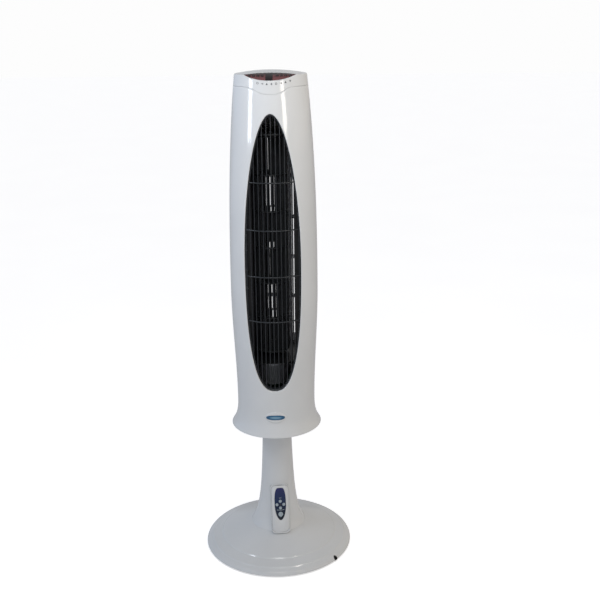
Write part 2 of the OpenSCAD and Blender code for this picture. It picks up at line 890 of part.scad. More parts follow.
module motor_bracket() {
    color(steel) at_wheel() difference() {
        translate([0, 0, motor_high_z]) cylinder(r = 48, h = 3);
        translate([0, 0, motor_high_z - 1]) cylinder(r = 12, h = 6);
        around(3, 40, 90) translate([0, 0, motor_high_z - 1]) cylinder(r = 2.2, h = 6, $fn = 24);
    }
}

module motor_mounts() {
    color(rubber_black) at_wheel() around(3, 40, 90) rotate_extrude($fn = 32)
        polygon([[0, motor_high_z + 3], [6, motor_high_z + 3], [6, motor_high_z + 6],
            [5, motor_high_z + 8], [6, guide_low_z - 3], [6, guide_low_z], [0, guide_low_z]]);
}

module motor_capacitor() {
    color("#3c4046") translate([-20, -72, head_base_z + head_base_t]) cube([40, 20, 30]);
}

module power_board() {
    board_z = head_base_z + head_base_t;
    color("#2f6b46") {
        translate([-35, 60, board_z]) cube([70, 1.6, 46]);
        translate([-20, 42, board_z + 8]) cube([26, 18.5, 22]);
        translate([20, 60.5, board_z + 20]) rotate([90, 0, 0]) cylinder(r = 6, h = 14, $fn = 32);
    }
}

module head_base() {
    z = head_base_z;
    color(grey_plastic) difference() {
        union() {
            translate([0, 0, z])
                cylinder(r = head_r(z + head_base_t) - shell_t - 0.3, h = head_base_t, $fn = 96);
            ring(spigot_r, 24, z, z + 12);
        }
        translate([0, 0, z - 1]) cylinder(r = spigot_r, h = 20);
        translate([-gear_distance, 0, z - 1]) cylinder(r = 5, h = 20);
    }
}

module pivot_spigot() {
    color(steel) ring(spigot_bore_r, spigot_r, column_top_z - 28, head_base_z + 12);
}

module retaining_ring() {
    color(steel) ring(spigot_r, spigot_r + 3.5, column_top_z - 26, column_top_z - 23);
}

module oscillation_motor() {
    color("#9a9fa6") translate([-gear_distance, 0, 0]) difference() {
        translate([0, 0, head_base_z + head_base_t]) cylinder(r = 20.5, h = 20);
        translate([0, 0, head_base_z]) cylinder(r = 3 + running_gap, h = 16);
    }
}

module drive_pinion() {
    color("#e6e2d4") translate([-gear_distance, 0, 0]) union() {
        translate([0, 0, gear_low_z + 0.5]) linear_extrude(gear_t - 1)
            rotate(180 / pinion_teeth) polygon(gear_outline(pinion_teeth));
        translate([0, 0, gear_low_z + 0.5]) cylinder(r = 3, h = head_base_z + 14 - gear_low_z);
    }
}

module upper_bearing() {
    color("#b08d57") at_wheel() ring(stub_r + running_gap, 8, guide_high_z - 4, guide_high_z + 6);
}

module bearing_rubber() {
    color(rubber_black) at_wheel() ring(8, 13, guide_high_z - 4, guide_high_z + 6);
}

module control_board() {
    depth = window_t + window_sink;
    color("#2f6b46") intersection() {
        barrel_solid(rim_inset + 5, 1100, head_top_z);
        at_panel() union() {
            translate([-58, -38, -depth - 9.6]) cube([116, 31, 1.6]);
            panel_button_places() translate([-2.5, -2.5, -depth - 8]) cube([5, 5, 3]);
        }
    }
}

module display_module() {
    color("#241516") at_panel() translate([-11, -28, -window_t - window_sink - 7.9]) cube([22, 16, 7.7]);
}

// ---------- assembly ----------

base_cover();
base_plate();
base_weight();
rubber_feet();
base_screws();
cord_grommet();
column();
support_tube();
tube_collar();
pivot_plate();
fixed_gear();
gear_screws();
pivot_bush();
thrust_washer();
remote_cradle();
head_base();
pivot_spigot();
retaining_ring();
front_shell();
rear_shell();
shell_screws();
top_cap();
control_window();
panel_marks();
front_grille();
badge();
air_guide();
motor_housing();
motor_bracket();
motor_mounts();
motor_capacitor();
power_board();
oscillation_motor();
upper_bearing();
bearing_rubber();
control_board();
display_module();
blower_wheel();
motor_rotor();
drive_pinion();
panel_button(1);  // panel_button_1
panel_button(2);  // panel_button_2
panel_button(3);  // panel_button_3
panel_button(4);  // panel_button_4
panel_button(5);  // panel_button_5
panel_button(6);  // panel_button_6
panel_button(7);  // panel_button_7
panel_button(8);  // panel_button_8
remote_back();
remote_front();
remote_overlay();
remote_board();
remote_cell();
battery_cover();
remote_key(1);  // key_up
remote_key(2);  // key_down
remote_key(3);  // key_left
remote_key(4);  // key_right
remote_key(5);  // key_power
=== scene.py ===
import math

import bmesh
import bpy
from mathutils import Matrix, Vector


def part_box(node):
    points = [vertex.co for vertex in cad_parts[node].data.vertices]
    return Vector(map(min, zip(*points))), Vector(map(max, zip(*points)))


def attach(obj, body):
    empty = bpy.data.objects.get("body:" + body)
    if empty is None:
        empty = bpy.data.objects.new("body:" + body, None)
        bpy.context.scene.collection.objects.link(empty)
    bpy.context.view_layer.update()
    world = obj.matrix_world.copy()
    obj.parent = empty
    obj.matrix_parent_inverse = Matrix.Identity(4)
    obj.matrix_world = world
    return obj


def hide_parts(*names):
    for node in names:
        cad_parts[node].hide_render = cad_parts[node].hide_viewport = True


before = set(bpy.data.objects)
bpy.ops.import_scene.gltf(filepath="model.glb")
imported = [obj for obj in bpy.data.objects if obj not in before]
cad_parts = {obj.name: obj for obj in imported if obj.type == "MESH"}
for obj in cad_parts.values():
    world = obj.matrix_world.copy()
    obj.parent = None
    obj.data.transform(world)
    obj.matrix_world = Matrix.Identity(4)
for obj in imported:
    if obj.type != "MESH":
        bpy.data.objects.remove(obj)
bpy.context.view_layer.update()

MM = 0.001


def box_mm(node):
    """Lowest and highest corner of a frame node, in millimetres."""
    low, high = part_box(node)
    return low / MM, high / MM


# ---------------------------------------------------------------- sizes, in millimetres

EDGE_GAP = 0.3
HEAD_RIM_Z = box_mm("front_shell")[0].z
OPEN_LOW_Z = box_mm("front_grille")[0].z - EDGE_GAP
OPEN_TOP_Z = box_mm("front_grille")[1].z + EDGE_GAP
CREST_H = 7.3
HEAD_TOP_Z = box_mm("top_cap")[1].z - CREST_H
COLUMN_TOP_Z = box_mm("column")[1].z
BASE_TOP_Z = box_mm("base_cover")[1].z
PLATE_LOW_Z = box_mm("base_plate")[0].z
BASE_R = -box_mm("base_cover")[0].x

# Head barrel: widest at mid height, pinched at the neck, flared at the rim
HEAD_WIDE_Z = 685
HEAD_NECK_Z = 406
HEAD_TOP_R = 82.5
HEAD_WIDE_R = 104.6
HEAD_NECK_R = 95.7
HEAD_RIM_R = 111.5
HEAD_TOP_SLOPE = 0.105
SPLIT_Y = 10
SPLIT_GAP = 0.15
WALL = 2

# Almond opening and its grille
OPEN_HALF = 65
OPEN_MID_Z = 765
UPPER_ROUND = 1.9
LOWER_ROUND = 2.6
OPEN_EDGE_ROUND = 2.2
LIP_DEPTH = 14
GRILLE_FRONT = 5
GRILLE_DEPTH = 12
VANE_PITCH = 10
VANE_T = 1.8
RIB_LOW_Z = 628
RIB_PITCH = 109

# Cap with its slanted panel
CAP_FRONT_Z = 1149.5
CAP_SIDE_Z = 1164
CAP_FLAT = 10
CAP_RISE = 42
CAP_GAP = 0.5
CAP_EDGE_R = 4
CREST_R = 78
PANEL_REAR_Y = -45
PANEL_REAR_Z = HEAD_TOP_Z + 4.4
PANEL_FRONT_Z = 1177.5
PANEL_SLOPE = math.atan2(PANEL_REAR_Z - PANEL_FRONT_Z, PANEL_REAR_Y + HEAD_TOP_R)
RIM_INSET = 2.6
WINDOW_SINK = 0.4
WINDOW_T = 2.5
WINDOW_REAR_Y = PANEL_REAR_Y - 1.5
WINDOW_ARC_R = 230
BUTTON_XS = [16.5, 26, 35.5, 45]
BUTTON_Y = -17
BUTTON_R = 3.4

# Badge
BADGE_Z = 386
BADGE_HALF = (23, 6.2)
BOSS_HALF = (29, 14.5)

# Slots in the back
SLOT_W = 6
SLOT_COLUMNS = 15
SLOT_LOW_Z = 540
SLOT_H = 92
SLOT_PITCH_Z = 102
SLOT_ROWS = 5
SLOT_HALF_SPAN = 75
SCREW_ZS = [440, 800, 1125]
SCREW_INSET = 13
WELL_R = 4.2
WELL_WALL = 2

# Blower
WHEEL_X = -6
WHEEL_Y = 6
WHEEL_R = 42
WHEEL_LOW_Z = 530
WHEEL_HIGH_Z = 1052
BLADES = 26
WHEEL_GAPS = 6
WHEEL_STAGGER = 4.6
BLADE_DEPTH = 10

# Stand and remote
COLUMN_TOP_R = 34
FOOT_R = 67.7
STAND_TURN = math.radians(6.5)
CRADLE_FOOT = Vector((0, -79, BASE_TOP_Z + 4))
CRADLE_W = 47
CRADLE_DEPTH = 16
CRADLE_TOP = 121
REMOTE_LEAN = math.radians(14.4)
REMOTE_T = 12.5
REMOTE_GAP = 0.4
CROWN_R = 60
KEY_MID = 70
KEY_RING = 8.6
KEY_R = 3.7
POWER_KEY_Z = 45.5
POWER_KEY_R = 5.8
OUTLET_TURN = math.radians(-38.6)
OUTLET_Z = 8.5
OUTLET_R = 5.3
COLUMN_WALL = 3
FOOT_RING_R = 166


# ---------------------------------------------------------------- curves

def ease(u, a, b, slope):
    """Cubic that starts level at a and reaches b with the slope."""
    return a * (2 * u ** 3 - 3 * u * u + 1) + b * (3 * u * u - 2 * u ** 3) + slope * (u ** 3 - u * u)


def smoothstep(u):
    u = min(1, max(0, u))
    return u * u * (3 - 2 * u)


def lerp(a, b, u):
    return a + (b - a) * u


def head_r(z):
    """Outer radius of the head at a height."""
    if z > HEAD_WIDE_Z:
        span = HEAD_TOP_Z - HEAD_WIDE_Z
        return ease((z - HEAD_WIDE_Z) / span, HEAD_WIDE_R, HEAD_TOP_R, -HEAD_TOP_SLOPE * span)
    if z > HEAD_NECK_Z:
        return ease((z - HEAD_NECK_Z) / (HEAD_WIDE_Z - HEAD_NECK_Z), HEAD_NECK_R, HEAD_WIDE_R, 0)
    drop = (HEAD_NECK_Z - z) / (HEAD_NECK_Z - HEAD_RIM_Z)
    return HEAD_NECK_R + (HEAD_RIM_R - HEAD_NECK_R) * drop ** 3


def column_r(z):
    """Outer radius of the column, with its flared foot."""
    return COLUMN_TOP_R + 0.033 * (COLUMN_TOP_Z - z) + 23.4 * math.exp((BASE_TOP_Z + 2 - z) / 44)


def barrel(x, z, depth=0):
    """Point on the head's front at a sideways place and height, sunk by a depth."""
    r = head_r(z) - depth
    return (x, -math.sqrt(max(0, r * r - x * x)), z)


def signed_power(v, e):
    return math.copysign(abs(v) ** e, v)


def opening_half(upper, inset):
    """Height and roundness of the opening's upper or lower half."""
    if upper:
        return OPEN_TOP_Z - OPEN_MID_Z - inset, UPPER_ROUND
    return OPEN_MID_Z - OPEN_LOW_Z - inset, LOWER_ROUND


def almond(angle, inset):
    """Point on the opening's outline, drawn inwards by an inset."""
    tall, bend = opening_half(math.sin(angle) >= 0, inset)
    x = (OPEN_HALF - inset) * signed_power(math.cos(angle), 2 / bend)
    return x, OPEN_MID_Z + tall * signed_power(math.sin(angle), 2 / bend)


def almond_half_width(z, inset):
    """Half the opening's width at a height."""
    tall, bend = opening_half(z >= OPEN_MID_Z, inset)
    rest = 1 - (abs(z - OPEN_MID_Z) / tall) ** bend
    return (OPEN_HALF - inset) * max(0, rest) ** (1 / bend)


def almond_half_height(x, inset, upper):
    """Height of the opening's upper or lower half at a sideways place."""
    tall, bend = opening_half(upper, inset)
    return tall * max(0, 1 - (abs(x) / (OPEN_HALF - inset)) ** bend) ** (1 / bend)


def cap_joint_z(x):
    """Height of the wavy joint under the cap."""
    return lerp(CAP_FRONT_Z, CAP_SIDE_Z, smoothstep((abs(x) - CAP_FLAT) / CAP_RISE))


def panel_z(y):
    """Height of the cap's slanted plane."""
    return PANEL_REAR_Z + (y - PANEL_REAR_Y) * math.tan(PANEL_SLOPE)


# ---------------------------------------------------------------- places

AT_PANEL = Matrix.Translation((0, PANEL_REAR_Y, PANEL_REAR_Z)) @ Matrix.Rotation(PANEL_SLOPE, 4, "X")
AT_CRADLE = (Matrix.Rotation(STAND_TURN, 4, "Z") @ Matrix.Translation(CRADLE_FOOT)
             @ Matrix.Rotation(-REMOTE_LEAN, 4, "X"))
AT_REMOTE = (AT_CRADLE @ Matrix.Translation((0, REMOTE_GAP + REMOTE_T, 0))
             @ Matrix.Rotation(math.pi / 2, 4, "X"))
AT_OUTLET = (Matrix.Rotation(OUTLET_TURN, 4, "Z") @ Matrix.Translation((BASE_R, 0, OUTLET_Z))
             @ Matrix.Rotation(math.pi / 2, 4, "Y"))
AT_WHEEL = Matrix.Translation((WHEEL_X, WHEEL_Y, 0))


# ---------------------------------------------------------------- mesh helpers

def link(obj):
    bpy.context.scene.collection.objects.link(obj)
    return obj


def mesh_object(name, verts, faces):
    """New object from points in millimetres."""
    mesh = bpy.data.meshes.new(name)
    mesh.from_pydata([Vector(v) * MM for v in verts], [], faces)
    return link(bpy.data.objects.new(name, mesh))


def grid(rows, closed=False):
    """Points and faces of a sheet from equally long rows of points."""
    verts = [p for row in rows for p in row]
    n = len(rows[0])
    faces = []
    for i in range(len(rows) - 1):
        for j in range(n if closed else n - 1):
            k = (j + 1) % n
            faces.append((i * n + j, i * n + k, (i + 1) * n + k, (i + 1) * n + j))
    return verts, faces


def join_parts(*parts):
    """Points and faces of several sheets as one."""
    verts, faces = [], []
    for more_verts, more_faces in parts:
        start = len(verts)
        verts += more_verts
        faces += [tuple(start + i for i in face) for face in more_faces]
    return verts, faces


def clean(obj, outward=None, merge=0.005):
    """Merges doubled points, drops flat faces and turns the faces outwards."""
    bm = bmesh.new()
    bm.from_mesh(obj.data)
    bmesh.ops.remove_doubles(bm, verts=bm.verts, dist=merge * MM)
    bmesh.ops.dissolve_degenerate(bm, dist=merge * MM / 5, edges=bm.edges)
    bmesh.ops.recalc_face_normals(bm, faces=bm.faces)
    if outward:
        score = sum(f.normal.dot(outward(f.calc_center_median())) * f.calc_area() for f in bm.faces)
        if score < 0:
            bmesh.ops.reverse_faces(bm, faces=bm.faces)
    bm.to_mesh(obj.data)
    bm.free()
    return obj


def smooth(obj, angle=35):
    """Smooth shading, with sharp edges above an angle."""
    bm = bmesh.new()
    bm.from_mesh(obj.data)
    for face in bm.faces:
        face.smooth = True
    for edge in bm.edges:
        edge.smooth = len(edge.link_faces) == 2 and edge.calc_face_angle(0) < math.radians(angle)
    bm.to_mesh(obj.data)
    bm.free()
    return obj


def settle(obj):
    """Turns the modifiers' result into the object's own mesh."""
    graph = bpy.context.evaluated_depsgraph_get()
    mesh = bpy.data.meshes.new_from_object(obj.evaluated_get(graph))
    obj.modifiers.clear()
    obj.data = mesh
    return obj


def thicken(obj, thickness):
    """Gives a sheet an even wall on its inner side."""
    mod = obj.modifiers.new("wall", "SOLIDIFY")
    mod.thickness = thickness * MM
    mod.offset = -1
    mod.use_even_offset = True
    return settle(obj)


def round_edges(obj, width, angle=40):
    """Rounds the edges that are sharper than an angle."""
    mod = obj.modifiers.new("rounded_edges", "BEVEL")
    mod.width = width * MM
    mod.segments = 2
    mod.limit_method = "ANGLE"
    mod.angle_limit = math.radians(angle)
    mod.miter_outer = "MITER_ARC"
    return settle(obj)


def cut(obj, *cutters):
    """Takes the cutters out of a solid and deletes them."""
    for cutter in cutters:
        mod = obj.modifiers.new("cut", "BOOLEAN")
        mod.operation = "DIFFERENCE"
        mod.solver = "EXACT"
        mod.object = cutter
    settle(obj)
    for cutter in cutters:
        bpy.data.objects.remove(cutter)
    return obj


def prism(name, outline, low, high, place=Matrix.Identity(4)):
    """Closed solid on an outline, between two levels, put at a place."""
    n = len(outline)
    verts = [place @ Vector((x, y, z)) for z in (low, high) for x, y in outline]
    faces = [tuple(range(n)), tuple(range(n, 2 * n))]
    faces += [(i, (i + 1) % n, n + (i + 1) % n, n + i) for i in range(n)]
    return clean(mesh_object(name, verts, faces))


def circle_outline(r, count=64):
    return [(r * math.cos(math.tau * i / count), r * math.sin(math.tau * i / count)) for i in range(count)]


def rounded(points, radii, steps=5):
    """Closed outline with its corners turned into arcs; a radius of 0 keeps a corner."""
    out = []
    n = len(points)
    for i, radius in enumerate(radii):
        here = Vector(points[i])
        if not radius:
            out.append(here)
            continue
        to_last = (Vector(points[i - 1]) - here).normalized()
        to_next = (Vector(points[(i + 1) % n]) - here).normalized()
        half = to_last.angle(to_next) / 2
        reach = radius / math.tan(half)
        centre = here + (to_last + to_next).normalized() * radius / math.sin(half)
        start = here + to_last * reach - centre
        turn = start.angle_signed(here + to_next * reach - centre)
        out += [centre + Matrix.Rotation(-turn * k / steps, 2) @ start for k in range(steps + 1)]
    return out


def lathe(name, outline, segments, place=Matrix.Identity(4)):
    """Solid turned from a closed outline of radius and height."""
    rows = []
    for r, z in outline:
        rows.append([place @ Vector((r * math.cos(math.tau * i / segments),
                                     r * math.sin(math.tau * i / segments), z))
                     for i in range(segments)])
    rows.append(rows[0])
    return clean(mesh_object(name, *grid(rows, closed=True)))


def away_from_axis(point):
    return Vector((point.x, point.y, 0)).normalized()


def softened_copy(node, width):
    """A frame node's own shape with its sharp edges rounded."""
    obj = link(bpy.data.objects.new(node + "_finish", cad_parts[node].data.copy()))
    clean(obj, merge=0.01)
    bm = bmesh.new()
    bm.from_mesh(obj.data)
    bmesh.ops.dissolve_limit(bm, angle_limit=math.radians(1), verts=bm.verts, edges=bm.edges)
    bm.to_mesh(obj.data)
    bm.free()
    if width:
        round_edges(obj, width)
    return smooth(obj)


# ---------------------------------------------------------------- geometry node trees

def node_tree(name, sockets):
    """Geometry node group with a mesh in, a mesh out and named inputs."""
    tree = bpy.data.node_groups.new(name, "GeometryNodeTree")
    tree.interface.new_socket("Mesh", in_out="INPUT", socket_type="NodeSocketGeometry")
    for label, kind in sockets.items():
        tree.interface.new_socket(label, in_out="INPUT", socket_type="NodeSocket" + kind)
    tree.interface.new_socket("Mesh", in_out="OUTPUT", socket_type="NodeSocketGeometry")
    return tree, tree.nodes.new("NodeGroupInput").outputs


def add(tree, kind, inputs=None, **settings):
    """Adds a node with its settings; an input is a value or another node's socket."""
    node = tree.nodes.new(kind)
    for key, value in settings.items():
        setattr(node, key, value)
    for key, value in (inputs or {}).items():
        if isinstance(value, bpy.types.NodeSocket):
            tree.links.new(value, node.inputs[key])
        else:
            node.inputs[key].default_value = value
    return node


def finish_tree(tree, mesh, material):
    whole = add(tree, "GeometryNodeRealizeInstances", {"Geometry": mesh})
    dressed = add(tree, "GeometryNodeSetMaterial", {"Geometry": whole.outputs[0], "Material": material})
    out = tree.nodes.new("NodeGroupOutput")
    tree.links.new(dressed.outputs[0], out.inputs[0])


def run_tree(obj, tree, values):
    """Runs a tree on an object with its inputs set by identifier, and keeps the plain mesh."""
    mod = obj.modifiers.new(tree.name, "NODES")
    mod.node_group = tree
    for item in tree.interface.items_tree:
        if item.item_type == "SOCKET" and item.in_out == "INPUT" and item.name in values:
            mod[item.identifier] = values[item.name]
    obj.update_tag()
    return settle(obj)


def bars_tree():
    """Sweeps a rounded bar along paths; each path point holds the direction across the bar."""
    tree, given = node_tree("bars_on_paths", {
        "Width": "Float", "Depth": "Float", "Corner": "Float", "Material": "Material"})
    path = add(tree, "GeometryNodeMeshToCurve", {"Mesh": given["Mesh"]})
    across = add(tree, "GeometryNodeInputNamedAttribute", {"Name": "across"}, data_type="FLOAT_VECTOR")
    aimed = add(tree, "GeometryNodeSetCurveNormal",
                {"Curve": path.outputs[0], "Normal": across.outputs[0]}, mode="FREE")
    outline = add(tree, "GeometryNodeCurvePrimitiveQuadrilateral",
                  {"Width": given["Width"], "Height": given["Depth"]}, mode="RECTANGLE")
    soft = add(tree, "GeometryNodeFilletCurve",
               {"Curve": outline.outputs[0], "Count": 2, "Radius": given["Corner"]}, mode="POLY")
    swept = add(tree, "GeometryNodeCurveToMesh",
                {"Curve": aimed.outputs[0], "Profile Curve": soft.outputs[0], "Fill Caps": True})
    finish_tree(tree, swept.outputs[0], given["Material"])
    return tree


def copies_tree():
    """Puts a copy of an object on every point, turned by the point's own angles."""
    tree, given = node_tree("copies_on_points", {"Copy": "Object", "Material": "Material"})
    copy = add(tree, "GeometryNodeObjectInfo", {"Object": given["Copy"]})
    angles = add(tree, "GeometryNodeInputNamedAttribute", {"Name": "angles"}, data_type="FLOAT_VECTOR")
    placed = add(tree, "GeometryNodeInstanceOnPoints", {
        "Points": given["Mesh"], "Instance": copy.outputs["Geometry"], "Rotation": angles.outputs[0]})
    finish_tree(tree, placed.outputs[0], given["Material"])
    return tree


def slots_tree():
    """Opens rows of upright slots in a sheet by deleting the faces that lie inside them."""
    tree, given = node_tree("air_slots", {
        "Slot width": "Float", "Pitch": "Float", "Half span": "Float", "Low": "Float",
        "Slot height": "Float", "Row pitch": "Float", "High": "Float", "Material": "Material"})

    def maths(operation, a, b=0.0):
        return add(tree, "ShaderNodeMath", {0: a, 1: b}, operation=operation).outputs[0]

    spot = add(tree, "ShaderNodeSeparateXYZ",
               {0: add(tree, "GeometryNodeInputPosition").outputs[0]}).outputs
    half_pitch = maths("MULTIPLY", given["Pitch"], 0.5)
    shifted = maths("FLOORED_MODULO", maths("ADD", spot["X"], half_pitch), given["Pitch"])
    from_slot = maths("ABSOLUTE", maths("SUBTRACT", shifted, half_pitch))
    tests = [
        maths("LESS_THAN", from_slot, maths("MULTIPLY", given["Slot width"], 0.5)),
        maths("LESS_THAN", maths("ABSOLUTE", spot["X"]), given["Half span"]),
        maths("GREATER_THAN", spot["Z"], given["Low"]),
        maths("LESS_THAN", spot["Z"], given["High"]),
        maths("LESS_THAN", maths("FLOORED_MODULO", maths("SUBTRACT", spot["Z"], given["Low"]),
                                 given["Row pitch"]), given["Slot height"]),
    ]
    inside = tests[0]
    for test in tests[1:]:
        inside = maths("MULTIPLY", inside, test)
    opened = add(tree, "GeometryNodeDeleteGeometry",
                 {"Geometry": given["Mesh"], "Selection": inside}, domain="FACE")
    finish_tree(tree, opened.outputs[0], given["Material"])
    return tree


def bars(name, paths, width, depth, corner, material, closed=False):
    """Bars along paths of (point, across) pairs, in millimetres."""
    verts, edges, across = [], [], []
    for path in paths:
        start = len(verts)
        verts += [Vector(p) * MM for p, _ in path]
        across += [Vector(a).normalized() for _, a in path]
        edges += [(start + i, start + i + 1) for i in range(len(path) - 1)]
        if closed:
            edges.append((start + len(path) - 1, start))
    mesh = bpy.data.meshes.new(name)
    mesh.from_pydata(verts, edges, [])
    layer = mesh.attributes.new("across", "FLOAT_VECTOR", "POINT")
    for item, value in zip(layer.data, across):
        item.vector = value
    obj = run_tree(link(bpy.data.objects.new(name, mesh)), bars_tree(), {
        "Width": width * MM, "Depth": depth * MM, "Corner": corner * MM, "Material": material})
    return smooth(clean(obj, merge=0.001), 50)


def copies(name, template, places, material):
    """One mesh of copies of a template; each place is a point in millimetres and its angles."""
    mesh = bpy.data.meshes.new(name)
    mesh.from_pydata([Vector(p) * MM for p, _ in places], [], [])
    layer = mesh.attributes.new("angles", "FLOAT_VECTOR", "POINT")
    for item, (_, angles) in zip(layer.data, places):
        item.vector = angles
    obj = run_tree(link(bpy.data.objects.new(name, mesh)), copies_tree(),
                   {"Copy": template, "Material": material})
    bpy.data.objects.remove(template)
    return smooth(obj)


def ring_places(count, r, z, first, centre=(0, 0)):
    """Evenly spaced places round an upright axis."""
    places = []
    for i in range(count):
        a = math.radians(first) + math.tau * i / count
        places.append(((centre[0] + r * math.cos(a), centre[1] + r * math.sin(a), z), (0, 0, a)))
    return places


# ---------------------------------------------------------------- materials

def linear(hex_code):
    """Linear colour from an sRGB hex value."""
    parts = [int(hex_code[i:i + 2], 16) / 255 for i in (1, 3, 5)]
    return [p / 12.92 if p <= 0.04045 else ((p + 0.055) / 1.055) ** 2.4 for p in parts] + [1]


def new_material(name, **shader):
    material = bpy.data.materials.new(name)
    material.use_nodes = True
    tree = material.node_tree
    bsdf = tree.nodes["Principled BSDF"]
    for label, value in shader.items():
        bsdf.inputs[label.replace("_", " ")].default_value = value
    return material, tree, bsdf


def tone(tree, factor, *stops):
    """Colour ramp from (position, hex) stops."""
    ramp = add(tree, "ShaderNodeValToRGB", {"Fac": factor})
    elements = ramp.color_ramp.elements
    while len(elements) < len(stops):
        elements.new(0.5)
    for element, (position, hex_code) in zip(elements, stops):
        element.position = position
        element.color = linear(hex_code)
    return ramp.outputs["Color"]


def surface(name, light, dark, roughness, patch_mm, grain_mm, relief_mm, spread=0.05, **shader):
    """Finish with soft patches of two close tones, a fine relief and uneven gloss."""
    material, tree, bsdf = new_material(name, **shader)
    spot = add(tree, "ShaderNodeTexCoord").outputs["Object"]
    patches = add(tree, "ShaderNodeTexNoise",
                  {"Vector": spot, "Scale": 1 / (patch_mm * MM), "Detail": 3.0, "Roughness": 0.55})
    grain = add(tree, "ShaderNodeTexNoise",
                {"Vector": spot, "Scale": 1 / (grain_mm * MM), "Detail": 2.0, "Roughness": 0.6})
    tree.links.new(tone(tree, patches.outputs[0], (0.3, dark), (0.7, light)), bsdf.inputs["Base Color"])
    gloss = add(tree, "ShaderNodeMapRange", {
        "Value": patches.outputs[0], "From Min": 0.3, "From Max": 0.7,
        "To Min": roughness - spread, "To Max": roughness + spread})
    tree.links.new(gloss.outputs[0], bsdf.inputs["Roughness"])
    bump = add(tree, "ShaderNodeBump",
               {"Height": grain.outputs[0], "Strength": 1.0, "Distance": relief_mm * MM})
    tree.links.new(bump.outputs[0], bsdf.inputs["Normal"])
    return material


def turned_metal(name, light, dark, roughness, line_mm, **shader):
    """Metal with fine tool lines round its upright axis."""
    material, tree, bsdf = new_material(name, Metallic=1.0, **shader)
    spot = add(tree, "ShaderNodeTexCoord").outputs["Object"]
    squeezed = add(tree, "ShaderNodeMapping", {"Vector": spot, "Scale": (0.05, 0.05, 1)})
    lines = add(tree, "ShaderNodeTexNoise", {
        "Vector": squeezed.outputs[0], "Scale": 1 / (line_mm * MM), "Detail": 3.0})
    tree.links.new(tone(tree, lines.outputs[0], (0.3, dark), (0.7, light)), bsdf.inputs["Base Color"])
    gloss = add(tree, "ShaderNodeMapRange", {
        "Value": lines.outputs[0], "To Min": roughness - 0.08, "To Max": roughness + 0.08})
    tree.links.new(gloss.outputs[0], bsdf.inputs["Roughness"])
    bump = add(tree, "ShaderNodeBump",
               {"Height": lines.outputs[0], "Strength": 0.5, "Distance": 0.02 * MM})
    tree.links.new(bump.outputs[0], bsdf.inputs["Normal"])
    return material


def smoked_acrylic():
    """Opaque red tint painted with the inside seen through it: a dark strip of painted shade along the rear
    edge, wine red below in painted light from the inner white walls, and a near black block in the middle,
    over the dark display.
    """
    material, tree, bsdf = new_material("smoked_red_acrylic", Roughness=0.07, IOR=1.49)
    spot = add(tree, "ShaderNodeTexCoord").outputs["Object"]
    axes = add(tree, "ShaderNodeSeparateXYZ", {0: spot}).outputs
    down = add(tree, "ShaderNodeMapRange", {
        "Value": axes["Y"], "From Min": (PANEL_REAR_Y - 2) * MM, "From Max": -HEAD_TOP_R * MM})
    # red tint with painted light and shade: painted shade at the rear edge, painted light from the inner
    # white walls towards the front
    lens_tint_and_painted_light = tone(tree, down.outputs[0], (0.0, "#1d1110"), (0.14, "#241414"), (0.3, "#5a3033"),
                (1.0, "#7d4e50"))
    off_centre = add(tree, "ShaderNodeMath", {0: axes["X"], 1: 1.5 * MM}, operation="ADD")
    distance = add(tree, "ShaderNodeMath", {0: off_centre.outputs[0]}, operation="ABSOLUTE")
    block = add(tree, "ShaderNodeMapRange", {
        "Value": distance.outputs[0], "From Min": 7.4 * MM, "From Max": 8.6 * MM})
    shade = add(tree, "ShaderNodeMixRGB", {
        "Fac": block.outputs[0], "Color1": linear("#160c0e"), "Color2": lens_tint_and_painted_light})
    tree.links.new(shade.outputs[0], bsdf.inputs["Base Color"])
    return material


def domed_badge():
    """Blue resin with a lighter lens-shaped middle under the clear dome."""
    material, tree, bsdf = new_material("blue_domed_resin", Roughness=0.12, IOR=1.5, Coat_Weight=0.6)
    spot = add(tree, "ShaderNodeTexCoord").outputs["Object"]
    low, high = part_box("badge")
    middle = (low + high) / 2
    scale = Vector((1 / (16 * MM), 0, 1 / (3.4 * MM)))
    centred = add(tree, "ShaderNodeMapping", {
        "Vector": spot, "Location": [-m * s for m, s in zip(middle, scale)], "Scale": scale})
    length = add(tree, "ShaderNodeVectorMath", {0: centred.outputs[0]}, operation="LENGTH")
    blue = tone(tree, length.outputs["Value"], (0.55, "#6f9cb4"), (0.95, "#3f7397"), (1.0, "#2b5a7d"))
    tree.links.new(blue, bsdf.inputs["Base Color"])
    return material


def remote_film():
    """Film on the remote's face that runs from near black teal at the bottom to navy at the remote's top.
    """
    material, tree, bsdf = new_material("navy_printed_film", Roughness=0.3, IOR=1.45)
    spot = add(tree, "ShaderNodeTexCoord").outputs["Object"]
    low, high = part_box("remote_overlay")
    height = add(tree, "ShaderNodeMapRange", {
        "Value": add(tree, "ShaderNodeSeparateXYZ", {0: spot}).outputs["Z"],
        "From Min": low.z, "From Max": high.z})
    shade = tone(tree, height.outputs[0], (0.0, "#0e1a26"), (0.3, "#101f38"), (0.62, "#142a50"),
                 (0.82, "#1c2a58"), (1.0, "#26285c"))
    tree.links.new(shade, bsdf.inputs["Base Color"])
    return material


def solder_mask():
    """Green lacquered board with a faint grid of copper tracks below the lacquer."""
    material, tree, bsdf = new_material("green_solder_mask", Roughness=0.35, IOR=1.5)
    spot = add(tree, "ShaderNodeTexCoord").outputs["Object"]
    tracks = add(tree, "ShaderNodeTexBrick", {
        "Vector": spot, "Color1": linear("#1f5a3a"), "Color2": linear("#23633f"),
        "Mortar": linear("#3f7f4c"), "Scale": 1 / (9 * MM), "Mortar Size": 0.03})
    tree.links.new(tracks.outputs["Color"], bsdf.inputs["Base Color"])
    return material


# Gloss off-white ABS: bright, wet-looking highlights over a very slightly wavy moulded skin
GLOSS_WHITE = surface("gloss_white_abs", "#dddfe0", "#d8dadb", 0.12, 120, 9, 0.003, 0.02, IOR=1.52)
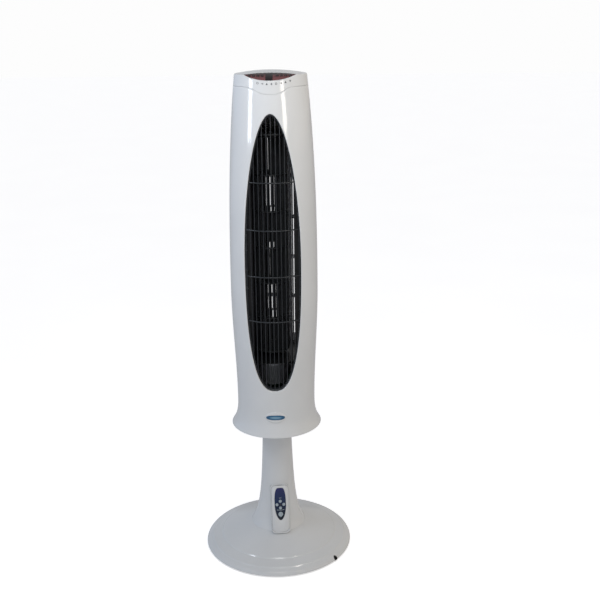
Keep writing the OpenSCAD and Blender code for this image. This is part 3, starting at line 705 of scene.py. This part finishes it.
# Plain grey ABS: the same moulding without polish, for parts nobody sees
PLAIN_GREY = surface("plain_grey_abs", "#b4b6b8", "#a9abad", 0.5, 60, 1.6, 0.03, IOR=1.5)
# Satin black polypropylene: spark-eroded grain that breaks the shine on vanes and ribs
SATIN_BLACK = surface("satin_black_pp", "#1b1c1e", "#131416", 0.34, 40, 1.4, 0.02, IOR=1.49)
# The same plastic, glossier on the vanes; its base colour is lighter than the satin black's, a painted
# sheen that stands in for the thin grey glints the vanes catch
GRILLE_BLACK_PAINTED_SHEEN = surface("black_pp_painted_sheen", "#292c30", "#202327", 0.26, 40, 1.4, 0.01, IOR=1.49)
# Glass-filled nylon: dull charcoal with a streaky tone
BLOWER_GREY = surface("glass_filled_nylon", "#2c2e31", "#222427", 0.45, 25, 1.5, 0.03, IOR=1.53)
# Black cast paint over steel plate
WEIGHT_PAINT = surface("black_painted_plate", "#3b3c3f", "#2c2d30", 0.55, 30, 2, 0.05, IOR=1.5)
# Moulded rubber: matt, almost black
RUBBER = surface("moulded_rubber", "#1d1d1f", "#151517", 0.75, 20, 1.2, 0.04, IOR=1.52)
# Natural acetal: milky ivory with a waxy shine
ACETAL = surface("natural_acetal", "#e6e2d6", "#dedac9", 0.32, 18, 1.2, 0.01, IOR=1.48)
# Grey stoved paint on the motor cans
MOTOR_PAINT = surface("grey_stoved_paint", "#8a8d92", "#7d8085", 0.42, 25, 1.5, 0.03, IOR=1.5)
# Dark thermoplastic cases of the capacitor and the display
DARK_CASE = surface("dark_case_plastic", "#2a2322", "#1d1716", 0.3, 20, 1.2, 0.02, IOR=1.5)
# Grey pad-printing ink
PANEL_INK = surface("grey_printing_ink", "#5e6166", "#4e5156", 0.6, 6, 0.8, 0.01, IOR=1.5)
# Tinted button caps, nearly black at rest
TINTED_CAP = surface("tinted_button_cap", "#2b171b", "#1d1013", 0.22, 8, 0.9, 0.01, IOR=1.5)
# Silver paint on the keys: small metallic flecks under a satin lacquer
SILVER_PAINT = surface("silver_key_paint", "#b9c5cc", "#a3b0b8", 0.3, 2, 0.7, 0.01, IOR=1.5, Metallic=0.35)
# Bright zinc plate on tubes and turned parts
ZINC_STEEL = turned_metal("bright_zinc_steel", "#b9bcc0", "#a3a6ab", 0.32, 0.8)
# Zinc plate on screws, a little darker in the recess
SCREW_ZINC = turned_metal("zinc_screw_steel", "#a9acb0", "#8d9094", 0.35, 0.6)
# Sintered bronze, oil-stained
BRONZE = turned_metal("sintered_bronze", "#b9904f", "#94713c", 0.4, 0.7)
# Nickel skin of the coin cell
CELL_NICKEL = turned_metal("nickel_cell_skin", "#c9c6bd", "#b3b0a8", 0.25, 0.8)
SMOKED_RED = smoked_acrylic()
BADGE_BLUE = domed_badge()
REMOTE_FILM = remote_film()
SOLDER_MASK = solder_mask()


# ---------------------------------------------------------------- hand-over to the frame

def dress(node, material):
    """Gives a frame node that stays its finish."""
    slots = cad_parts[node].data.materials
    slots.clear()
    slots.append(material)


def mount(obj, body, slot, material, *nodes):
    """Puts a finished piece on its body in place of frame nodes."""
    obj.data.materials.clear()
    obj.data.materials.append(material)
    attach(obj, body)
    if nodes:
        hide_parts(*nodes)
    return obj


# ---------------------------------------------------------------- head shells

def absorb(obj, other):
    """Adds another object's mesh to an object as a loose closed part."""
    bm = bmesh.new()
    bm.from_mesh(obj.data)
    bm.from_mesh(other.data)
    bm.to_mesh(obj.data)
    bm.free()
    bpy.data.objects.remove(other)
    return obj


def levels(low, high, count):
    return [lerp(low, high, i / count) for i in range(count)]


def arc_row(z, first, last, count, side):
    """Row of points on the head from one turn to another, measured from the front."""
    r = head_r(z)
    turns = [lerp(first, last, j / count) for j in range(count + 1)]
    return [(side * r * math.sin(t), -r * math.cos(t), z) for t in turns]


def split_turn(z, y):
    """Turn, from the front, of the head's point at a depth of y."""
    return math.pi / 2 + math.asin(y / head_r(z))


def wavy_rows(low, count, first, last, columns, side):
    """Rows that rise from a level up to the wavy joint under the cap."""
    rows = []
    for i in range(1, count + 1):
        row = []
        for j in range(columns + 1):
            t = lerp(first, last, j / columns)
            z = lerp(low, cap_joint_z(head_r(CAP_FRONT_Z) * math.sin(t)) - CAP_GAP / 2, i / count)
            row.append((side * head_r(z) * math.sin(t), -head_r(z) * math.cos(t), z))
        rows.append(row)
    return rows


def lens_outline(half_w, half_h):
    """Outline of two shallow arcs that meet in two points."""
    r = (half_w ** 2 + half_h ** 2) / (2 * half_h)
    xs = [half_w * -math.cos(math.pi * i / 24) for i in range(25)]
    top = [(x, math.sqrt(r * r - x * x) - r + half_h) for x in xs]
    return top[:-1] + [(-x, -z) for x, z in top[:-1]]


def oval_outline(half_w, half_h, bend):
    """Oval that gets squarer as the bend nears 0."""
    outline = []
    for i in range(64):
        a = math.tau * i / 64
        x, z = signed_power(math.cos(a), bend), signed_power(math.sin(a), bend)
        outline.append((half_w * x, half_h * z))
    return outline


def pad_on_barrel(name, outline, z_mid, layers):
    """Closed pad that follows the barrel; each layer is a scale of the outline and a height."""
    rows = [[barrel(x * scale, z_mid + z * scale, -height) for x, z in outline]
            for scale, height in layers]
    return smooth(clean(mesh_object(name, *grid(rows, closed=True))), 60)


def front_shell():
    edge = OPEN_EDGE_ROUND
    columns = 48
    loop = [math.radians(-90 + 2.5 * i) for i in range(73)]
    low, high = OPEN_LOW_Z - edge, OPEN_TOP_Z + edge
    rows = [(0, z) for z in levels(HEAD_RIM_Z, HEAD_NECK_Z, 14) + levels(HEAD_NECK_Z, low, 8)]
    rows += [almond(a, -edge) for a in loop]
    halves = []
    for side in (1, -1):
        points = []
        for half, z in rows:
            first = math.asin(max(0, half) / head_r(z))
            points.append(arc_row(z, first, split_turn(z, SPLIT_Y - SPLIT_GAP), columns, side))
        points += wavy_rows(high, 9, 0, split_turn(high, SPLIT_Y - SPLIT_GAP), columns, side)
        halves.append(grid(points))
    lip = []
    full_loop = [(1, a) for a in loop[:-1]] + [(-1, a) for a in loop[:0:-1]]
    for side, a in full_loop:
        section = []
        for k in range(6):
            bend = math.pi / 2 * k / 5
            x, z = almond(a, -edge + edge * math.sin(bend))
            section.append(barrel(side * x, z, edge - edge * math.cos(bend)))
        x, z = almond(a, 0)
        section += [barrel(side * x, z, lerp(edge, LIP_DEPTH, k / 3)) for k in (1, 2, 3)]
        lip.append(section)
    lip.append(lip[0])
    shell = mesh_object("front_shell_finish", *join_parts(*halves, grid(lip)))
    thicken(clean(shell, away_from_axis), WALL)
    smooth(round_edges(shell, 0.6, 50), 50)
    boss = pad_on_barrel("boss", lens_outline(*BOSS_HALF), BADGE_Z, [
        (0, 2), (0.3, 2), (0.6, 2), (0.84, 2), (0.87, 1.9), (0.9, 1.5), (1, -0.6), (0.9, -1), (0.5, -1),
        (0, -1)])
    return absorb(shell, boss)


def rear_shell():
    edge_xs = []
    for k in range(SLOT_COLUMNS // 2 + 1):
        edge_xs += [k * VANE_PITCH - SLOT_W / 2, k * VANE_PITCH + SLOT_W / 2]
    edge_xs = [0] + edge_xs[1:]
    outer = 16
    zs = levels(HEAD_RIM_Z, HEAD_NECK_Z, 12) + levels(HEAD_NECK_Z, SLOT_LOW_Z, 8)
    for row in range(SLOT_ROWS):
        low = SLOT_LOW_Z + row * SLOT_PITCH_Z
        zs += levels(low, low + SLOT_H, 4) + [low + SLOT_H]
    zs += levels(zs[-1] + 12, OPEN_TOP_Z, 5) + [OPEN_TOP_Z]
    halves = []
    for side in (1, -1):
        rows = []
        for i in range(len(zs) + 6):
            rise = max(0, i - len(zs) + 1) / 6
            base_z = zs[min(i, len(zs) - 1)]

            def spot(turn):
                joint = cap_joint_z(head_r(CAP_FRONT_Z) * math.sin(turn)) - CAP_GAP / 2
                z = lerp(base_z, joint, rise)
                return (side * head_r(z) * math.sin(turn), -head_r(z) * math.cos(turn), z)

            turns = [math.pi - math.asin(x / head_r(base_z)) for x in edge_xs]
            last = split_turn(base_z, SPLIT_Y + SPLIT_GAP)
            turns += [lerp(turns[-1], last, (j + 1) / outer) for j in range(outer)]
            rows.append([spot(t) for t in turns])
        halves.append(grid(rows))
    shell = clean(mesh_object("rear_shell_finish", *join_parts(*halves)), away_from_axis)
    run_tree(shell, slots_tree(), {
        "Slot width": SLOT_W * MM, "Pitch": VANE_PITCH * MM, "Half span": SLOT_HALF_SPAN * MM,
        "Low": SLOT_LOW_Z * MM, "Slot height": SLOT_H * MM, "Row pitch": SLOT_PITCH_Z * MM,
        "High": (SLOT_LOW_Z + SLOT_ROWS * SLOT_PITCH_Z) * MM, "Material": GLOSS_WHITE})
    thicken(shell, WALL)
    round_edges(shell, 0.6, 50)
    for z in SCREW_ZS:
        x = head_r(z) - SCREW_INSET
        far = math.sqrt((head_r(z) - WALL) ** 2 - (x + 6) ** 2)
        tube_r = WELL_R + WELL_WALL
        for side in (1, -1):
            facing_back = Matrix.Translation((side * x, 0, z)) @ Matrix.Rotation(-math.pi / 2, 4, "X")
            cut(shell, prism("hole", circle_outline(WELL_R, 40), 18, 120, facing_back))
            well = [(WELL_R, SPLIT_Y), (tube_r, SPLIT_Y), (tube_r, far), (WELL_R, far)]
            absorb(shell, lathe("tube", well, 40, facing_back))
    return smooth(shell, 50)


# ---------------------------------------------------------------- cap and panel

def soft_min(a, b, blend):
    """Smaller of two heights with a soft crease where they cross."""
    return min(a, b) - blend * math.log1p(math.exp(-abs(a - b) / blend))


def window_outline(inset, rear_inset):
    """Lens outline on the panel plane, between a wide arc behind and the barrel in front."""
    arc_r = WINDOW_ARC_R - rear_inset
    arc_y = WINDOW_REAR_Y - WINDOW_ARC_R
    front_r = head_r(HEAD_TOP_Z) - inset
    for _ in range(6):
        tip_y = (arc_r ** 2 - front_r ** 2 - arc_y ** 2) / (-2 * arc_y)
        front_r = head_r(panel_z(tip_y)) - inset
    tip_x = math.sqrt(front_r ** 2 - tip_y ** 2)
    outline = []
    last = math.atan2(tip_x, -tip_y)
    for i in range(61):
        turn = lerp(-last, last, i / 60)
        y = -front_r * math.cos(turn)
        for _ in range(5):
            y = -(head_r(panel_z(y)) - inset) * math.cos(turn)
        outline.append((-y * math.tan(turn), y))
    for i in range(1, 40):
        x = lerp(tip_x, -tip_x, i / 40)
        outline.append((x, arc_y + math.sqrt(arc_r ** 2 - x * x)))
    return [(x, (y - PANEL_REAR_Y) / math.cos(PANEL_SLOPE)) for x, y in outline]


def top_cap():
    ball_r = (CREST_R ** 2 + CREST_H ** 2) / (2 * CREST_H)
    wall_top = HEAD_TOP_Z - CAP_EDGE_R
    flat_r = head_r(wall_top) - CAP_EDGE_R
    columns = 240
    profile = [("wall", u) for u in (0, 0.12, 0.25, 0.4, 0.55, 0.66, 0.74, 0.8, 0.85, 0.9, 0.95, 1)]
    profile += [("edge", math.radians(15 * k)) for k in range(1, 7)]
    profile += [("dome", CREST_R - k) for k in range(0, 38)]
    profile += [("dome", r) for r in (36, 30, 24, 18, 12, 6, 0)]
    rows = []
    for kind, value in profile:
        row = []
        for i in range(columns):
            turn = math.tau * i / columns
            if kind == "wall":
                joint = cap_joint_z(head_r(CAP_FRONT_Z) * math.sin(turn)) + CAP_GAP / 2
                z = lerp(joint, wall_top, value)
                r = head_r(z)
            elif kind == "edge":
                r = flat_r + CAP_EDGE_R * math.cos(value)
                z = wall_top + CAP_EDGE_R * math.sin(value)
            else:
                r = value
                z = HEAD_TOP_Z + CREST_H - ball_r + math.sqrt(ball_r ** 2 - r * r)
            y = -r * math.cos(turn)
            row.append((r * math.sin(turn), y, soft_min(z, panel_z(y), 0.5)))
        rows.append(row)
    cap = clean(mesh_object("top_cap_finish", *grid(rows, closed=True)), away_from_axis)
    thicken(cap, WALL)
    seat = prism("seat", window_outline(RIM_INSET, 0), -10, 6, AT_PANEL)
    return smooth(cut(cap, seat), 40)


def control_window():
    top = -WINDOW_SINK
    window = prism("control_window_finish", window_outline(RIM_INSET + 0.15, 0.15), top - WINDOW_T, top,
                   AT_PANEL)
    round_edges(window, 0.35)
    holes = [prism("hole", circle_outline(BUTTON_R + 0.35, 32), -10, 10,
                   AT_PANEL @ Matrix.Translation((side * x, BUTTON_Y, 0)))
             for x in BUTTON_XS for side in (-1, 1)]
    return smooth(cut(window, *holes), 30)


def panel_button(n):
    x = -BUTTON_XS[4 - n] if n < 5 else BUTTON_XS[n - 5]
    rim = 1
    outline = [(0, -3), (BUTTON_R, -3), (BUTTON_R, rim - 0.6), (BUTTON_R - 0.2, rim - 0.2),
               (BUTTON_R - 0.6, rim), (BUTTON_R - 1, rim - 0.05), (1.2, rim - 0.4), (0, rim - 0.45)]
    place = AT_PANEL @ Matrix.Translation((x, BUTTON_Y, 0))
    return smooth(lathe(f"button_cap_{n}", outline, 40, place), 40)


# ---------------------------------------------------------------- grille, badge and blower

def front_grille():
    reach = int((OPEN_HALF - 4) // VANE_PITCH)
    middle = GRILLE_FRONT + 1 + (GRILLE_DEPTH - 1) / 2
    vanes = []
    for k in range(-reach, reach + 1):
        x = k * VANE_PITCH
        low = OPEN_MID_Z - almond_half_height(x, 3, False)
        high = OPEN_MID_Z + almond_half_height(x, 3, True)
        vanes.append([(barrel(x, z, middle), (1, 0, 0)) for z in levels(low, high, 40) + [high]])
    upright = bars("vanes", vanes, VANE_T, GRILLE_DEPTH - 1, 0.5, GRILLE_BLACK_PAINTED_SHEEN)
    ribs = []
    for k in range(4):
        z = RIB_LOW_Z + k * RIB_PITCH
        half = almond_half_width(z, 2.5)
        ribs.append([(barrel(x, z, GRILLE_FRONT + 2), (0, 0, 1))
                     for x in [lerp(-half, half, i / 24) for i in range(25)]])
    crossing = bars("ribs", ribs, 2.6, 5, 0.8, GRILLE_BLACK_PAINTED_SHEEN)
    frame_path = []
    for i in range(144):
        a = math.tau * i / 144
        x, z = almond(a, 2.4)
        x_out, z_out = almond(a, 0)
        frame_path.append((barrel(x, z, GRILLE_FRONT + GRILLE_DEPTH / 2), (x_out - x, 0, z_out - z)))
    border = bars("border", [frame_path], 4.2, GRILLE_DEPTH, 0.8, GRILLE_BLACK_PAINTED_SHEEN, closed=True)
    upright.name = "front_grille_finish"
    return absorb(absorb(upright, crossing), border)


def badge():
    return pad_on_barrel("badge_finish", oval_outline(*BADGE_HALF, 0.8), BADGE_Z, [
        (0, 2.6), (0.3, 2.58), (0.6, 2.5), (0.8, 2.4), (0.92, 2.25), (0.98, 2.05), (1, 1.8), (1, 1),
        (0.5, 1), (0, 1)])


def blower_wheel():
    inner = WHEEL_R - BLADE_DEPTH
    pitch = (WHEEL_HIGH_Z - WHEEL_LOW_Z - 3) / WHEEL_GAPS
    chord = []
    for k in range(7):
        u = k / 6
        chord.append((lerp(inner, WHEEL_R - 1.2, u), -2.4 + 1.4 * math.sin(math.pi * u) + 4.8 * u))
    back = [(x + 0.3, y - 1.3) for x, y in reversed(chord)]
    blade = prism("blade", chord + back, WHEEL_LOW_Z, WHEEL_LOW_Z + pitch + 0.5)
    places = []
    for k in range(WHEEL_GAPS):
        places += ring_places(BLADES, 0, pitch * k, WHEEL_STAGGER * k, (WHEEL_X, WHEEL_Y))
    wheel = copies("blower_finish", blade, places, BLOWER_GREY)
    for k in range(WHEEL_GAPS + 1):
        low = WHEEL_LOW_Z + pitch * k
        solid_end = k in (0, WHEEL_GAPS)
        hole, height = (0, 3) if solid_end else (inner - 2, 2)
        section = [(hole, low), (WHEEL_R, low), (WHEEL_R, low + height), (hole, low + height)]
        absorb(wheel, lathe("disc", rounded(section, [0, 0.6, 0.6, 0], 2), 96, AT_WHEEL))
    for low, high, r in ((WHEEL_LOW_Z + 2, WHEEL_LOW_Z + 18, 10), (WHEEL_HIGH_Z - 1, WHEEL_HIGH_Z + 2, 7),
                         (WHEEL_HIGH_Z - 1, WHEEL_HIGH_Z + 23, 3)):
        section = [(0, low), (r, low), (r, high), (0, high)]
        absorb(wheel, lathe("hub", rounded(section, [0, 0, 0.8, 0], 2), 40, AT_WHEEL))
    return smooth(wheel, 35)


# ---------------------------------------------------------------- stand

def base_cover():
    r = BASE_R
    outline = [(60, BASE_TOP_Z), (FOOT_R + 1, BASE_TOP_Z), (r * 0.774, BASE_TOP_Z - 28),
               (r * 0.788, BASE_TOP_Z - 30.6), (r * 0.911, BASE_TOP_Z - 37.7),
               (r * 0.926, BASE_TOP_Z - 40.6), (r * 0.975, BASE_TOP_Z - 45.5),
               (r * 0.99, BASE_TOP_Z - 48.5), (r, BASE_TOP_Z - 52),
               (r, PLATE_LOW_Z), (r - 3, PLATE_LOW_Z), (r * 0.99 - 3, PLATE_LOW_Z + 3),
               (r * 0.9, BASE_TOP_Z - 41), (r * 0.77, BASE_TOP_Z - 31), (60, BASE_TOP_Z - 3)]
    radii = [0, 1, 2, 2, 2, 2, 6, 6, 3, 0.8, 0.4, 1, 2, 2, 0]
    cover = lathe("base_cover_finish", rounded(outline, radii, 5), 256)
    notch = prism("notch", circle_outline(OUTLET_R, 40), -12, 8, AT_OUTLET)
    below = [(0, -OUTLET_R), (20, -OUTLET_R), (20, OUTLET_R), (0, OUTLET_R)]
    gap = prism("gap", below, -12, 8, AT_OUTLET)
    return smooth(cut(cover, notch, gap), 30)


def column():
    steps = 64
    zs = [lerp(BASE_TOP_Z, COLUMN_TOP_Z, (i / steps) ** 1.4) for i in range(steps + 1)]
    outline = [(column_r(z), z) for z in zs] + [(column_r(z) - COLUMN_WALL, z) for z in reversed(zs)]
    shell = lathe("column_finish", outline, 192)
    half = CRADLE_W / 2 + 0.3
    front = CRADLE_DEPTH - 1
    room = prism("room", [(-half, -30), (half, -30), (half, front), (-half, front)], -3.3, CRADLE_TOP - 2,
                 AT_CRADLE)
    return smooth(cut(shell, room), 40)


def feet():
    outline = rounded([(0, 0), (8.4, 0), (9, PLATE_LOW_Z), (0, PLATE_LOW_Z)], [0, 0.8, 0, 0], 3)
    foot = lathe("foot", outline, 40)
    return copies("rubber_feet_finish", foot, ring_places(5, FOOT_RING_R, 0, 54), RUBBER)


# ---------------------------------------------------------------- remote

def face_z(x):
    """Height of the crowned remote face above the remote's back."""
    return REMOTE_T - CROWN_R + math.sqrt(CROWN_R ** 2 - x * x)


def remote_key(name, x, y, r):
    top = face_z(abs(x)) + 0.6
    outline = [(0, 8), (r, 8), (r, top - 0.5), (r - 0.15, top - 0.15), (r - 0.5, top),
               (r * 0.6, top - 0.1), (0, top - 0.25)]
    return smooth(lathe(name, outline, 48, AT_REMOTE @ Matrix.Translation((x, y, 0))), 40)


def remote_prints():
    """Thin raised prints on the face: a rule under the keys, a short bar above and one below."""
    paths = []
    for y, half, sag in ((KEY_MID - 14.2, 9.5, 1.2), (KEY_MID + 17, 3, 0), (KEY_MID - 31, 2, 0)):
        path = []
        for i in range(13):
            x = lerp(-half, half, i / 12)
            point = AT_REMOTE @ Vector((x, y + sag * (x / half) ** 2, face_z(x) + 0.2))
            path.append((point, AT_REMOTE.to_3x3() @ Vector((0, 1, 0))))
        paths.append(path)
    return bars("remote_prints", paths, 1, 0.3, 0.05, SILVER_PAINT)


def centre_dot():
    top = face_z(0) + 0.5
    outline = [(0, top - 1), (2.2, top - 1), (2.2, top - 0.3), (1.8, top), (0, top)]
    return smooth(lathe("key_centre_dot", outline, 32, AT_REMOTE @ Matrix.Translation((0, KEY_MID, 0))), 40)


# ---------------------------------------------------------------- pieces on the frame

mount(front_shell(), "head", "white_gloss", GLOSS_WHITE, "front_shell")
mount(rear_shell(), "head", "white_gloss", GLOSS_WHITE, "rear_shell")
mount(top_cap(), "head", "white_gloss", GLOSS_WHITE, "top_cap")
mount(control_window(), "head", "smoked_lens", SMOKED_RED, "control_window")
mount(front_grille(), "head", "black_plastic", GRILLE_BLACK_PAINTED_SHEEN, "front_grille")
mount(badge(), "head", "badge_blue", BADGE_BLUE, "badge")
mount(blower_wheel(), "blower", "blower_grey", BLOWER_GREY, "blower_wheel")
for n in range(1, 9):
    mount(panel_button(n), f"button_{n}", "button_dark", TINTED_CAP, f"panel_button_{n}")

mount(base_cover(), "stand", "white_gloss", GLOSS_WHITE, "base_cover")
mount(column(), "stand", "white_gloss", GLOSS_WHITE, "column")
mount(softened_copy("remote_cradle", 0.8), "stand", "white_gloss", GLOSS_WHITE, "remote_cradle")
mount(softened_copy("cord_grommet", 0.3), "stand", "rubber", RUBBER, "cord_grommet")
mount(feet(), "stand", "rubber", RUBBER, "rubber_feet")

mount(softened_copy("remote_back", 0.6), "remote", "white_gloss", GLOSS_WHITE, "remote_back")
mount(softened_copy("remote_front", 0.3), "remote", "white_gloss", GLOSS_WHITE, "remote_front")
mount(softened_copy("remote_overlay", 0), "remote", "remote_blue", REMOTE_FILM, "remote_overlay")
mount(remote_prints(), "remote", "key_silver", SILVER_PAINT)
mount(centre_dot(), "remote", "dark_part", DARK_CASE)
for name, x, y, r in (("up", 0, KEY_MID + KEY_RING, KEY_R), ("down", 0, KEY_MID - KEY_RING, KEY_R),
                      ("left", -KEY_RING, KEY_MID, KEY_R), ("right", KEY_RING, KEY_MID, KEY_R),
                      ("power", 0, POWER_KEY_Z, POWER_KEY_R)):
    mount(remote_key(f"key_cap_{name}", x, y, r), f"remote_key_{name}", "key_silver", SILVER_PAINT,
          f"key_{name}")

for finish, nodes in (
        (GLOSS_WHITE, "battery_cover"), (PLAIN_GREY, "pivot_plate head_base"),
        (SATIN_BLACK, "base_plate air_guide"), (WEIGHT_PAINT, "base_weight"),
        (ZINC_STEEL, "support_tube tube_collar pivot_spigot retaining_ring motor_bracket motor_rotor"),
        (SCREW_ZINC, "base_screws gear_screws shell_screws"), (RUBBER, "motor_mounts bearing_rubber"),
        (BRONZE, "pivot_bush upper_bearing"), (ACETAL, "fixed_gear drive_pinion thrust_washer"),
        (PANEL_INK, "panel_marks"), (MOTOR_PAINT, "motor_housing oscillation_motor"),
        (DARK_CASE, "motor_capacitor display_module"),
        (SOLDER_MASK, "power_board control_board remote_board"), (CELL_NICKEL, "remote_cell")):
    for node in nodes.split():
        dress(node, finish)


# ---------------------------------------------------------------- studio, in metres and degrees

FLOOR_GLOW = 0.6
TOP_POWER = 4.6
ROOM_LEVEL = 0.7
ROOM_OVERHEAD = 0.35
ROOM_LEFT = "#d6e6ff"
ROOM_MID = "#f2f3f5"
ROOM_RIGHT = "#fff1e0"
FLOOR_HALF = 20000  # millimetres
CAMERA_PLACE = (0.0617, -2.1357, 1.3108)
CAMERA_DOWN = 17.123
CAMERA_ROLL = -0.561
CAMERA_LENS = 55.2  # millimetres


def floor():
    """Wide pale sweep, lifted for the camera alone so that it stays near white."""
    material, tree, bsdf = new_material("pale_studio_floor", Roughness=0.9)
    spot = add(tree, "ShaderNodeTexCoord").outputs["Object"]
    patches = add(tree, "ShaderNodeTexNoise", {"Vector": spot, "Scale": 2.0, "Detail": 2.0})
    shade = tone(tree, patches.outputs[0], (0.3, "#f3f3f4"), (0.7, "#f7f7f7"))
    tree.links.new(shade, bsdf.inputs["Base Color"])
    bsdf.inputs["Emission Color"].default_value = linear("#ffffff")
    rays = add(tree, "ShaderNodeLightPath")
    glow = add(tree, "ShaderNodeMath", {0: rays.outputs["Is Camera Ray"], 1: FLOOR_GLOW},
               operation="MULTIPLY")
    tree.links.new(glow.outputs[0], bsdf.inputs["Emission Strength"])
    half = FLOOR_HALF
    sheet = mesh_object("floor", [(-half, -half, 0), (half, -half, 0), (half, half, 0), (-half, half, 0)],
                        [(0, 1, 2, 3)])
    sheet.data.materials.append(material)


def soft_box(name, azimuth, low, high, width, distance, radiance, colour, lean=0):
    """Glowing panel facing the axis; azimuth in degrees, from the front towards the right."""
    data = bpy.data.lights.new(name, "AREA")
    data.shape = "RECTANGLE"
    data.size, data.size_y = width, high - low
    data.energy = radiance * math.pi * width * (high - low)
    data.color = linear(colour)[:3]
    lamp = link(bpy.data.objects.new(name, data))
    a = math.radians(azimuth)
    lamp.location = (distance * math.sin(a), -distance * math.cos(a), (low + high) / 2)
    lamp.rotation_euler = (math.pi / 2, math.radians(lean), a)


def top_light():
    """Square lamp above and in front, close enough to fade from the head down to the base."""
    data = bpy.data.lights.new("top_light", "AREA")
    data.size = 0.5
    data.energy = TOP_POWER
    lamp = link(bpy.data.objects.new("top_light", data))
    lamp.location = (0, -0.9, 1.78)
    lamp.rotation_euler = (math.radians(45), 0, 0)


def surroundings():
    """White behind the object, and a softer room that it reflects: cool left, warm right, dim above."""
    world = bpy.data.worlds.new("studio_room")
    bpy.context.scene.world = world
    world.use_nodes = True
    tree = world.node_tree
    where = add(tree, "ShaderNodeTexCoord").outputs["Generated"]
    axes = add(tree, "ShaderNodeSeparateXYZ", {0: where}).outputs
    sideways = add(tree, "ShaderNodeMapRange", {"Value": axes["X"], "From Min": -1.0, "From Max": 1.0})
    sides = tone(tree, sideways.outputs[0], (0.0, ROOM_LEFT), (0.5, ROOM_MID), (1.0, ROOM_RIGHT))
    rise = add(tree, "ShaderNodeMapRange", {"Value": axes["Z"], "From Min": 0.0, "From Max": 1.0,
                                            "To Min": ROOM_LEVEL, "To Max": ROOM_OVERHEAD})
    room = add(tree, "ShaderNodeBackground", {"Color": sides, "Strength": rise.outputs[0]})
    seen = add(tree, "ShaderNodeBackground", {"Color": linear("#fdfdfd"), "Strength": 1.0})
    rays = add(tree, "ShaderNodeLightPath")
    both = add(tree, "ShaderNodeMixShader", {
        0: rays.outputs["Is Camera Ray"], 1: room.outputs[0], 2: seen.outputs[0]})
    tree.links.new(both.outputs[0], tree.nodes["World Output"].inputs["Surface"])


def camera():
    data = bpy.data.cameras.new("camera")
    data.lens = CAMERA_LENS
    data.sensor_width = 36
    eye = link(bpy.data.objects.new("camera", data))
    pitch = Matrix.Rotation(math.radians(90 - CAMERA_DOWN), 4, "X")
    roll = Matrix.Rotation(math.radians(CAMERA_ROLL), 4, "Z")
    eye.matrix_world = Matrix.Translation(CAMERA_PLACE) @ pitch @ roll
    bpy.context.scene.camera = eye


floor()
surroundings()
soft_box("left_softbox", -59.5, 1.03, 1.38, 0.2, 1.0, 12, "#eef4ff")
soft_box("right_strip", 37, 1.05, 1.38, 0.17, 1.0, 10, "#fff8ee", lean=-22)
top_light()
camera()
bpy.context.scene.view_settings.view_transform = "Standard"
